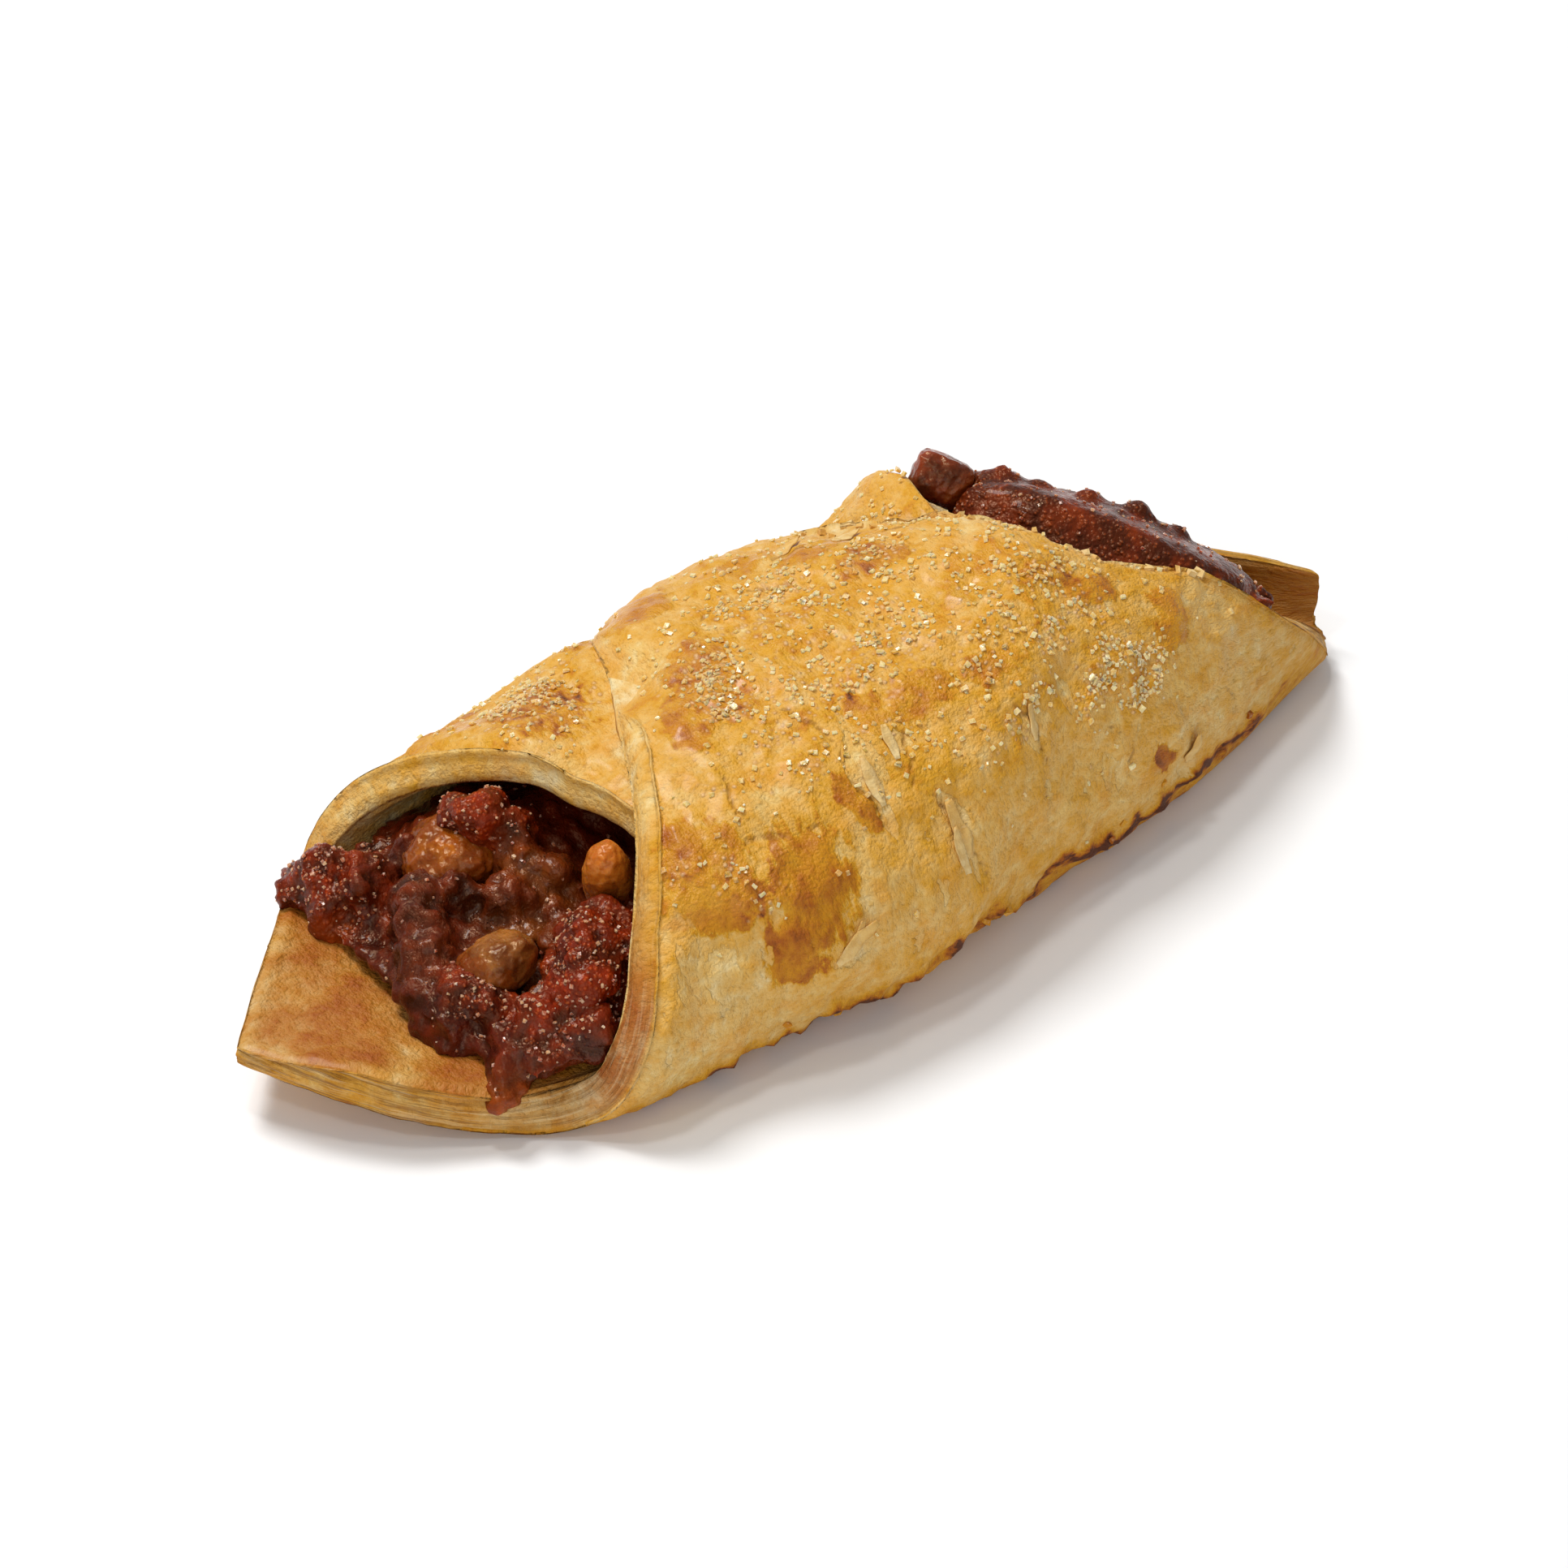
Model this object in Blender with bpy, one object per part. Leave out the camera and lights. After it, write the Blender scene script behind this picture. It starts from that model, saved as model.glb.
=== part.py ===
"""A fruit-filled folded pastry: a square of laminated dough laid corner to corner under a line of fruit paste,
its two side corners folded over the top, the near one last. Metres, +Z up, long way along X, resting on Z = 0.

The dough is one closed solid. It is worked out as a sheet wound round a tube: a station runs along the roll, as a
share of the length, and a girth runs round it, 0 in the middle of the base, 1 at the crown, positive on the near
side (-Y) and negative on the far side. The four cut edges of the dough are curves in station and girth.
"""

import bmesh
import bpy
import numpy as np
from mathutils import Matrix, Vector
from mathutils.bvhtree import BVHTree

# ---------------------------------------------------------------- driving dimensions
LENGTH = 0.140            # corner to corner of the finished pastry
DOUGH = 0.0043            # thickness of the baked dough
FLAP_GAP = 0.00048        # between the two flaps where they lie over one another
FLAP_PRESS = 0.38         # how far the lower flap sinks under the upper one, as a share of the dough
FLAP_THIN = 0.85          # thickness left in the upper flap over the lower one
BASE_SWELL = 0.28         # the front lip has risen by this share
CUT_FLARE = 0.0025        # the inner layers stand out past the outer ones along the near front cut
FILLING_GAP = 0.0009      # between the filling and the dough
BASE_GAP = 0.0004         # and this much more under it
CHUNK_GAP = 0.0003        # between a fruit piece and the filling
TIP_CURL = 0.0063         # how far the front corner curls up
TAIL_CURL = 0.0020        # how far the back corner curls up
STAND = 0.0001            # the flat of the underside is this far up: the pastry stands on four low places,
STAND_SPAN = 0.008        # each this wide to where it is level with the flat

# half width of the roll on each side, and its height, at stations along it (shares of the length)
NEAR_WIDTH = ((-.50, .184), (-.38, .187), (-.25, .187), (-.08, .179), (.0, .170), (.127, .147), (.255, .119),
              (.35, .083), (.42, .053), (.50, .022))
FAR_WIDTH = ((-.50, .159), (-.38, .182), (-.25, .203), (.0, .235), (.20, .250), (.30, .227), (.40, .159),
             (.46, .084), (.50, .022))
HEIGHT = ((-.50, .148), (-.40, .149), (-.30, .158), (-.20, .172), (-.10, .183), (.0, .188), (.10, .199),
          (.20, .209), (.30, .189), (.40, .156), (.46, .131), (.50, .119))
SHOULDER = .36            # height of the widest level, as a share of the height
HEEL = .27                # radius of the lower corner, as a share of the half width
HEEL_MOST = .050
SQUARENESS = 2.15         # of the rounded upper half

# the four cut edges of the dough square, (station, girth), from the front corner and to the back corner
NEAR_FRONT = ((-.50, 0), (-.498, .010), (-.431, .192), (-.297, .388), (-.216, .701), (-.139, 1.023), (-.096, 1.297),
              (-.049, 1.48), (.009, 1.54))
NEAR_BACK = ((.009, 1.54), (.094, 1.44), (.158, 1.264), (.209, 1.151), (.261, 1.029), (.343, .915), (.390, .778),
             (.461, .438), (.490, .160), (.50, 0))
FAR_FRONT = ((-.50, 0), (-.483, -.051), (-.402, -.275), (-.334, -.491), (-.265, -.694), (-.213, -.856),
             (-.182, -.985), (-.165, -1.140), (-.101, -1.28), (.0, -1.38))
FAR_BACK = ((.0, -1.38), (.085, -1.23), (.150, -1.05), (.193, -.90), (.203, -.76), (.236, -.62), (.327, -.512),
            (.432, -.508), (.495, -.530), (.50, 0))
GIRTH_UNIT = .48          # length of a unit of girth, as a share of the length, when spacing points along an edge
EASE = 3.2                # steepest change along the roll of the zone that the hidden flap lifts

# the far flap is puffed up by the filling near its back edge: station, girth, spans of both, height
PUFF = (.208, .68, .022, .15, .0029)

# the four low places that the pastry stands on: station, girth
FEET = ((-.285, .29), (-.285, -.29), (.30, .19), (.30, -.30))

# the fruit filling
FILL_START, FILL_END = -.376, .422    # stations
# how far the front edge of the filling lies behind FILL_START, at places across the roll (both in millimetres)
FOOT_LINE = ((-24, 7.5), (-19, 5.6), (-13, 3.8), (-8, 1.0), (-3, .2), (2, .2), (7, 1.4), (14, -.7), (19, -.9), (24, -.4))
FOOT_RISE, FOOT_ROUND = 0.0024, 0.0009   # the edge stands this high over the front lip, rounded over this length
MOUTH_SLOPE = .37         # and the filling climbs at this slope into the mouth
HOLLOW_AT = (-.0195, -.0030)             # the hollow behind the mouth: where it is deepest,
HOLLOW_HALF = (.0110, .0125)             # its half sizes,
HOLLOW_FLOOR = 0.0118                    # and the height of its floor
# lobes of the paste at the mouth: X, Y, radius, height, in millimetres
LOBES = ((-49.0, 17.5, 4.8, 2.6), (-45.5, 9.0, 4.2, 1.2), (-47.0, -4.5, 4.6, 2.3), (-44.0, -16.6, 4.0, 1.8),
         (-38.5, -15.6, 4.6, 3.2), (-33.0, -12.2, 4.6, 3.4), (-32.5, 11.0, 6.4, 2.4), (-38.5, 17.5, 6.0, 2.6),
         (-35.5, -3.0, 4.6, -1.6))
# how far the open filling at the back lies below the line of the dough: station, millimetres
BACK_SINK = ((.10, .5), (.20, -.3), (.25, -1.2), (.29, -.8), (.33, .5), (.37, 2.2), (.40, 4.1), (.43, 6.2))
BACK_LOBES = ((.285, -.84, 4.0, .5), (.325, -.80, 3.6, -.4), (.365, -.80, 4.0, .7))   # station, girth, radius, height
# fruit pieces: name, centre, half sizes, lean about Y and X in degrees; millimetres
FRUIT = (("fruit_piece_amber", (-38.6, 10.8, 12.4), (5.6, 5.2, 3.7), (-20, 6)),
         ("fruit_piece_pale", (-41.8, -6.8, 11.3), (5.2, 3.8, 3.2), (-18, -10)),
         ("fruit_strip", (-28.6, -5.6, 16.8), (2.7, 2.6, 5.2), (-6, 10)),
         ("fruit_piece_back", (34.4, 24.1, 24.6), (3.2, 4.1, 4.3), (0, -12)))

CRUST_STEPS = 34          # squares along each side of the dough
RIM_STEPS = 2             # rows across the cut edge
FILL_STATIONS = 42
TOP_POINTS, BASE_POINTS = 17, 11
FILL_ROUND = TOP_POINTS + BASE_POINTS


# ---------------------------------------------------------------- curves
def curve(points, x):
    """A smooth curve through the points that never overshoots them."""
    xs, ys = (np.array(v, float) for v in zip(*points))
    x = np.asarray(x, float)
    h, d = np.diff(xs), np.diff(ys) / np.diff(xs)
    m = np.zeros_like(ys)
    m[0], m[-1] = d[0], d[-1]
    for i in range(1, len(xs) - 1):
        if d[i - 1] * d[i] > 0:
            w1, w2 = 2 * h[i] + h[i - 1], h[i] + 2 * h[i - 1]
            m[i] = (w1 + w2) / (w1 / d[i - 1] + w2 / d[i])
    i = np.clip(np.searchsorted(xs, x) - 1, 0, len(h) - 1)
    t = np.clip((x - xs[i]) / h[i], 0, 1)
    return ((2 * t**3 - 3 * t**2 + 1) * ys[i] + (t**3 - 2 * t**2 + t) * h[i] * m[i]
            + (3 * t**2 - 2 * t**3) * ys[i + 1] + (t**3 - t**2) * h[i] * m[i + 1])


def ease(x, low, high):
    t = np.clip((x - low) / (high - low), 0, 1)
    return t * t * (3 - 2 * t)


def edge(points, t):
    """(station, girth) at shares t of the way along a cut edge."""
    p = np.array(points, float)
    run = np.r_[0, np.cumsum(np.hypot(np.diff(p[:, 0]), GIRTH_UNIT * np.diff(p[:, 1])))]
    run /= run[-1]
    return np.stack([curve(list(zip(run, p[:, 0])), t), curve(list(zip(run, p[:, 1])), t)], -1)


# ---------------------------------------------------------------- the tube
STATIONS = np.linspace(-.5, .5, 201)
GIRTHS = np.linspace(0, 1, 121)


def half_section(width, height):
    """Half of the tube's section, from the middle of the base round to the crown: width and height at GIRTHS."""
    level, heel = SHOULDER * height, min(HEEL * width, HEEL_MOST)
    k1, k2, k3 = np.linspace(0, 1, 45, endpoint=False), np.linspace(0, np.pi / 2, 48, endpoint=False), np.linspace(0, np.pi / 2, 68)
    power = 2 / SQUARENESS
    out = np.concatenate([(width - heel) * k1, width - heel + heel * np.sin(k2), width * np.maximum(np.cos(k3), 0)**power])
    up = np.concatenate([0 * k1, level * (1 - np.cos(k2)), level + (height - level) * np.sin(k3)**power])
    run = np.r_[0, np.cumsum(np.hypot(np.diff(out), np.diff(up)))]
    return np.interp(GIRTHS, run / run[-1], out), np.interp(GIRTHS, run / run[-1], up)


def thickness(x, q):
    """Of the dough, as a share of the length: thinner towards the two end corners, risen at the front of the base."""
    t = DOUGH / LENGTH * (.45 + .55 * ease(np.hypot(x + .5, .45 * q), 0, .12)) * (.40 + .60 * ease(.5 - x, 0, .14))
    return t * (1 + BASE_SWELL * ease(-x, .15, .35) * (1 - ease(np.abs(q), .25, .6)))


def lining(x):
    """The plain thickness at a station, between the tube's outer and inner sections."""
    return DOUGH / LENGTH * (.45 + .55 * ease(x + .5, 0, .12)) * (.40 + .60 * ease(.5 - x, 0, .14))


def sections(widths, inset):
    w, h = curve(widths, STATIONS) - inset, curve(HEIGHT, STATIONS) - 2 * inset
    out, up = (np.array(v) for v in zip(*(half_section(a, b) for a, b in zip(w, h))))
    return out, up + (inset * np.ones_like(w))[:, None]


NEAR_HALF, FAR_HALF = sections(NEAR_WIDTH, 0), sections(FAR_WIDTH, 0)
NEAR_INNER, FAR_INNER = sections(NEAR_WIDTH, lining(STATIONS)), sections(FAR_WIDTH, lining(STATIONS))


def read(table, x, g):
    fx = np.clip((x + .5) * (len(STATIONS) - 1), 0, len(STATIONS) - 1.0001)
    fg = np.clip(g * (len(GIRTHS) - 1), 0, len(GIRTHS) - 1.0001)
    i, j = fx.astype(int), fg.astype(int)
    fx, fg = fx - i, fg - j
    return ((table[i, j] * (1 - fx) + table[i + 1, j] * fx) * (1 - fg)
            + (table[i, j + 1] * (1 - fx) + table[i + 1, j + 1] * fx) * fg)


def tube(x, q, near_half=NEAR_HALF, far_half=FAR_HALF):
    """Y and Z of the tube at a station and a girth, as shares of the length. Past the crown it comes down the other side."""
    x, q = np.asarray(x, float), np.asarray(q, float)
    g = np.abs(q)
    over = g > 1
    g = np.where(over, 2 - g, g)
    near = (q >= 0) ^ over
    at, girth, span_x, span_q, rise = PUFF
    puff = np.where(near, 0, rise / LENGTH * np.exp(-((x - at) / span_x)**2 - ((g - girth) / span_q)**2))
    out = np.where(near, -read(near_half[0], x, g), read(far_half[0], x, g))
    up = np.where(near, read(near_half[1], x, g), read(far_half[1], x, g))
    return out + .7 * puff, up + .7 * puff


def outward(x, q):
    """The tube's outward direction in its section."""
    y1, z1 = tube(x, q + .004)
    y0, z0 = tube(x, q - .004)
    ty, tz = y1 - y0, z1 - z0
    n = np.hypot(ty, tz) + 1e-12
    return -tz / n, ty / n


def inward(x, q, depth):
    """Y and Z at a depth below the tube: straight in at the front, and from the outer section towards the inner one
    at the narrow back, where straight in would cross over at the heels."""
    y, z = tube(x, q)
    ny, nz = outward(x, q)
    iy, iz = tube(x, q, NEAR_INNER, FAR_INNER)
    share, narrow = depth / lining(x), ease(x, .05, .25)
    return (y + (iy - y) * share * narrow - ny * depth * (1 - narrow),
            z + (iz - z) * share * narrow - nz * depth * (1 - narrow))


def curl(x):
    """How far the two end corners lift off the table."""
    return TIP_CURL / LENGTH * ease(-x, .30, .52)**1.3 + TAIL_CURL / LENGTH * ease(x, .36, .50)


def stand(x, q):
    """How far the dough is off the table near the middle of its underside."""
    away = np.min([np.hypot((x - a) * LENGTH, (q - g) * GIRTH_UNIT * LENGTH * .85) for a, g in FEET], axis=0)
    return STAND / LENGTH * ease(away, .0005, STAND_SPAN)


def reach(front, back, sign):
    """How far round a flap goes at each station, and the same with its steep ends eased out."""
    t = np.linspace(0, 1, 300)
    a, b = edge(front, t), edge(back, t)
    xs, rs = np.r_[a[:, 0], b[1:, 0]], sign * np.r_[a[:, 1], b[1:, 1]]
    order = np.argsort(xs, kind="stable")
    plain = np.interp(STATIONS, xs[order], rs[order])
    eased = (plain[None, :] - EASE * np.abs(STATIONS[:, None] - STATIONS[None, :])).max(1)
    return plain, eased


NEAR_REACH, NEAR_EASED = reach(NEAR_FRONT, NEAR_BACK, 1)
FAR_REACH, FAR_EASED = reach(FAR_FRONT, FAR_BACK, -1)


# ---------------------------------------------------------------- the dough
def sheet(a, b, w):
    """A point of the dough: a and b in the unit square of the sheet, w from its outer face, 0, to its inner face, 1."""
    a, b = np.asarray(a, float), np.asarray(b, float)
    A, B = a[..., None], b[..., None]
    c00, c10, c11, c01 = (np.array(v, float) for v in (NEAR_FRONT[0], NEAR_BACK[0], NEAR_BACK[-1], FAR_BACK[0]))
    place = ((1 - B) * edge(NEAR_FRONT, a) + B * edge(FAR_BACK, a) + (1 - A) * edge(FAR_FRONT, b) + A * edge(NEAR_BACK, b)
             - ((1 - A) * (1 - B) * c00 + A * (1 - B) * c10 + A * B * c11 + (1 - A) * B * c01))
    x, q = place[..., 0], place[..., 1]
    x = x - w * CUT_FLARE / LENGTH * (1 - ease(b, 0, .09)) * ease(q, .35, .55) * (1 - ease(q, 1.0, 1.25))
    ny, nz = outward(x, q)
    meets = 2 - np.interp(x, STATIONS, FAR_EASED)
    cover = np.where(q > 0, ease(q, meets - .36, meets - .02), 0)
    meets = 2 - np.interp(x, STATIONS, NEAR_EASED)
    under = np.where(q < 0, ease(-q, meets - .16, meets), 0)
    t = thickness(x, q)
    sealed = ease(q, .95, 1.2)
    t = t * (1 - (1 - FLAP_THIN) * cover) * (1 - .48 * (1 - ease(b, 0, .07)) * sealed) * (1 - .40 * (1 - ease(1 - a, 0, .07)) * sealed)
    press = FLAP_PRESS * DOUGH / LENGTH
    lift = cover * (t + FLAP_GAP / LENGTH - press) - under * press
    y, z = inward(x, q, w * t)
    return np.stack([x, y + ny * lift, z + nz * lift + curl(x) + stand(x, q)], -1) * LENGTH


def dough_mesh(name):
    n = CRUST_STEPS
    t = np.linspace(0, 1, n + 1)
    t = t - .035 * np.sin(2 * np.pi * t)          # the squares are a little smaller towards the edges
    A, B = np.meshgrid(t, t, indexing="ij")
    faces = [sheet(A, B, w) for w in np.linspace(0, 1, RIM_STEPS + 1)]
    round_edge = ([(i, 0) for i in range(n)] + [(n, j) for j in range(n)]
                  + [(n - i, n) for i in range(n)] + [(0, n - j) for j in range(n)])
    bm = bmesh.new()
    outer = [[bm.verts.new(p) for p in row] for row in faces[0]]
    inner = [[bm.verts.new(p) for p in row] for row in faces[-1]]
    rows = [[outer[i][j] for i, j in round_edge]]
    rows += [[bm.verts.new(f[i, j]) for i, j in round_edge] for f in faces[1:-1]]
    rows += [[inner[i][j] for i, j in round_edge]]
    for i in range(n):
        for j in range(n):
            bm.faces.new((outer[i][j], outer[i + 1][j], outer[i + 1][j + 1], outer[i][j + 1]))
            bm.faces.new((inner[i][j], inner[i][j + 1], inner[i + 1][j + 1], inner[i + 1][j]))
    for low, high in zip(rows, rows[1:]):
        for k in range(len(low)):
            m = (k + 1) % len(low)
            bm.faces.new((low[k], high[k], high[m], low[m]))
    return finish_mesh(bm, name)


# ---------------------------------------------------------------- the filling
def side_depth(x, q):
    """How deep below the tube the filling's side lies at a station and a girth between -1 and 1."""
    near, far = np.interp(x, STATIONS, NEAR_REACH), np.interp(x, STATIONS, FAR_REACH)
    here, other = np.where(q > 0, near, far), np.where(q > 0, far, near)
    g = np.abs(q)
    open_back = ease(x, .10, .16) * ease(g, here + .06, here + .16) * (1 - ease(g, 2 - other - .16, 2 - other - .06))
    spill = ease(-x, .335, .375) * ease(g, here + .04, here + .12) * (q < 0)
    over = np.where(q > 0, np.interp(x, STATIONS, FAR_EASED), np.interp(x, STATIONS, NEAR_EASED))
    both = ease(g, 2 - over - .32, 2 - over - .10) * (1 - ease(g, here + .08, here + .2))
    wall = (thickness(x, q) + FLAP_PRESS * DOUGH / LENGTH * both
            + (FILLING_GAP + BASE_GAP * (1 - ease(g, .40, .55))) / LENGTH)
    bulge = sum(h * np.exp(-(((x - s) * LENGTH * 1000 / r)**2 + ((q - g0) * 62 / r)**2)) for s, g0, r, h in BACK_LOBES)
    sunk = (curve(BACK_SINK, x) - bulge) / 1000 / LENGTH
    return (1 - open_back) * (1 - .5 * spill) * wall + open_back * sunk


def foot(y):
    """X of the filling's front edge."""
    return FILL_START * LENGTH + curve(FOOT_LINE, y * 1000) / 1000


def heap(x, y):
    """Height of the filling's open top over the mouth and behind it."""
    lip = (thickness(x / LENGTH, np.zeros_like(x)) + curl(x / LENGTH)) * LENGTH + FILLING_GAP + BASE_GAP
    s = np.maximum(x - foot(y), 0)
    top = lip + FOOT_RISE * np.sqrt(1 - (1 - np.minimum(s / FOOT_ROUND / 2.2, 1))**2) + MOUTH_SLOPE * s
    rise = ease(s, 0, .004)
    top += rise * sum(h / 1000 * np.exp(-((x * 1000 - a)**2 + (y * 1000 - b)**2) / r**2) for a, b, r, h in LOBES)
    away = ((x - HOLLOW_AT[0]) / HOLLOW_HALF[0])**2 + ((y - HOLLOW_AT[1]) / HOLLOW_HALF[1])**2
    top -= np.maximum(top - HOLLOW_FLOOR, 0) * np.minimum(1.3 * np.exp(-away), 1)
    full = ease(x, -.009, .006)                   # from here back the filling meets the dough above it
    return top * (1 - full) + .05 * full


def filling_ring(station):
    """One section of the filling, out to the dough and no higher than its open top. Near the front it follows
    the line of the filling's foot."""
    bend = 1 - ease(station, FILL_START + .08, FILL_START + .24)

    def x_at(y):
        return station * LENGTH + bend * curve(FOOT_LINE, y * 1000) / 1000

    q = np.linspace(-1, 1, 241)
    x = np.full_like(q, station)
    for _ in range(3):
        y, z = inward(x, q, side_depth(x, q))
        y, z = y * LENGTH, (z + curl(x)) * LENGTH
        x = x_at(y) / LENGTH
    low, middle = z[np.abs(q) < .3].max(), .5 * (y.min() + y.max())
    top = min(float(heap(x_at(np.array([middle])), np.array([middle]))[0]), z.max())
    centre = np.array([middle, low + np.clip(.4 * (top - low), .0004, .006)])
    angle, radius = np.arctan2(z - centre[1], y - centre[0]), np.hypot(y - centre[0], z - centre[1])
    order = np.argsort(angle)
    turn = np.linspace(-np.pi / 2, 1.5 * np.pi, 361)
    out = np.interp(turn, angle[order], radius[order], period=2 * np.pi)
    share = np.linspace(0, 1, 200)[:, None]
    py, pz = centre[0] + share * out * np.cos(turn), centre[1] + share * out * np.sin(turn)
    over = pz > heap(x_at(py), py)
    last = np.where(over.any(0), np.maximum(over.argmax(0) - 1, 2), 199)
    py, pz = py[last, np.arange(361)], pz[last, np.arange(361)]
    near, far = int(py.argmin()), int(py.argmax())      # the widest points part the ring into its top and its base
    parts = []
    for part, count in ((np.arange(far, near + 1), TOP_POINTS), (np.r_[near:361, 1:far + 1], BASE_POINTS)):
        run = np.r_[0, np.cumsum(np.hypot(np.diff(py[part]), np.diff(pz[part])))]
        even = np.linspace(0, run[-1], count, endpoint=False)
        parts.append((np.interp(even, run, py[part]), np.interp(even, run, pz[part])))
    py, pz = np.concatenate(parts, axis=1)
    return np.stack([x_at(py), py, pz], -1), np.array([float(x_at(centre[:1])[0]), *centre])


def clear_of(tree, p):
    """Moves a point of the filling off the dough."""
    for _ in range(4):
        spot, normal, _, _ = tree.find_nearest(p)
        gap = (p - spot).dot(normal)
        if gap >= FILLING_GAP or (p - spot).length > .004:
            break
        p = spot + normal * FILLING_GAP * 1.02
    return p


def filling_mesh(name, dough):
    bm = bmesh.new()
    solid = bmesh.new()
    solid.from_mesh(dough)
    tree = BVHTree.FromBMesh(solid)
    spread = np.linspace(0, 1, FILL_STATIONS)
    rings, ends = [], []
    for station in FILL_START + .0024 + (FILL_END - FILL_START) * spread**1.22:
        ring, centre = filling_ring(float(station))
        rings.append([bm.verts.new(clear_of(tree, Vector(p))) for p in ring])
        ends.append(centre)
    for low, high in zip(rings, rings[1:]):
        for k in range(FILL_ROUND):
            m = (k + 1) % FILL_ROUND
            bm.faces.new((low[k], high[k], high[m], low[m]))
    for ring, centre in ((rings[0], ends[0]), (rings[-1], ends[-1])):
        hub = bm.verts.new(centre)
        for k in range(FILL_ROUND):
            bm.faces.new((ring[k], ring[(k + 1) % FILL_ROUND], hub))
    bmesh.ops.recalc_face_normals(bm, faces=bm.faces)
    for face in list(bm.faces) * 5:               # its faces keep clear between their corners too
        middle = face.calc_center_median()
        for v in face.verts:
            for share in (0, .35, .7):
                spot, normal, _, _ = tree.find_nearest(middle.lerp(v.co, share))
                gap = (middle.lerp(v.co, share) - spot).dot(normal)
                if gap < .65 * FILLING_GAP and (middle.lerp(v.co, share) - spot).length < .002:
                    v.co += normal * (.65 * FILLING_GAP - gap)
    solid.free()
    return finish_mesh(bm, name)


# ---------------------------------------------------------------- the fruit pieces
def fruit_mesh(name, half, seat, grow=0.0):
    """A rounded, slightly squared lump, its half sizes in millimetres."""
    bm = bmesh.new()
    bmesh.ops.create_uvsphere(bm, u_segments=14, v_segments=9, radius=1)
    for v in bm.verts:
        d = v.co.normalized()
        r = (abs(d.x)**2.6 + abs(d.y)**2.6 + abs(d.z)**2.6)**(-1 / 2.6)
        r *= 1 + .05 * np.sin(4 * d.x + 2.3 * d.z) + .04 * np.sin(5 * d.y - 3 * d.x)
        v.co = seat @ Vector(d[i] * r * (half[i] / 1000 + grow) for i in range(3))
    return finish_mesh(bm, name)


# ---------------------------------------------------------------- objects
def finish_mesh(bm, name):
    bmesh.ops.recalc_face_normals(bm, faces=bm.faces)
    mesh = bpy.data.meshes.new(name)
    bm.to_mesh(mesh)
    bm.free()
    mesh.shade_smooth()
    mesh.set_sharp_from_angle(angle=np.radians(50))
    return mesh


def material(name, colour, roughness, coat=0.0):
    m = bpy.data.materials.new(name)
    m.use_nodes = True
    shader = m.node_tree.nodes["Principled BSDF"]
    shader.inputs["Base Color"].default_value = (*colour, 1)
    shader.inputs["Roughness"].default_value = roughness
    shader.inputs["Metallic"].default_value = 0.0
    shader.inputs["Coat Weight"].default_value = coat
    return m


def place(name, mesh, parent, skin=None):
    obj = bpy.data.objects.new(name, mesh)
    bpy.context.scene.collection.objects.link(obj)
    obj.parent = parent
    if skin is not None:
        mesh.materials.append(skin)
    return obj


def main():
    for old in list(bpy.data.objects):
        bpy.data.objects.remove(old, do_unlink=True)
    scene = bpy.context.scene
    scene.unit_settings.system = "METRIC"
    scene.unit_settings.scale_length = 1.0

    pastry = bpy.data.objects.new("pastry", None)
    scene.collection.objects.link(pastry)

    dough = dough_mesh("dough")
    across = [v.co.y for v in dough.vertices]
    middle = Vector((0, -.5 * (min(across) + max(across)), 0))
    place("dough", dough, pastry, material("baked_dough", (.62, .36, .11), .50))
    filling = place("filling", filling_mesh("filling", dough), pastry, material("fruit_paste", (.075, .012, .008), .25, .4))

    skins = {"fruit_piece_amber": (.24, .055, .012), "fruit_piece_pale": (.30, .12, .04),
             "fruit_strip": (.33, .09, .015), "fruit_piece_back": (.13, .020, .010)}
    seats = bmesh.new()
    for name, centre, half, (lean_y, lean_x) in FRUIT:
        seat = (Matrix.Translation(Vector(centre) / 1000) @ Matrix.Rotation(np.radians(lean_y), 4, "Y")
                @ Matrix.Rotation(np.radians(lean_x), 4, "X"))
        place(name, fruit_mesh(name, half, seat), pastry, material(name + "_flesh", skins[name], .30, .3))
        grown = fruit_mesh("seat", half, seat, CHUNK_GAP)
        seats.from_mesh(grown)
        bpy.data.meshes.remove(grown)
    socket = place("fruit_seats", finish_mesh(seats, "fruit_seats"), pastry)
    socket.hide_render = True
    socket.display_type = "WIRE"
    cut = filling.modifiers.new("fruit_seats", "BOOLEAN")
    cut.operation = "DIFFERENCE"
    cut.solver = "EXACT"
    cut.object = socket
    for obj in pastry.children:
        obj.data.transform(Matrix.Translation(middle))


main()
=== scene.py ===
"""The looks of a folded, fruit-filled pastry: flaky washed crust with sugar grains, sticky fruit paste and fruit pieces.
Metres, +Z up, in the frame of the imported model, which this follows piece by piece."""

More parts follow.
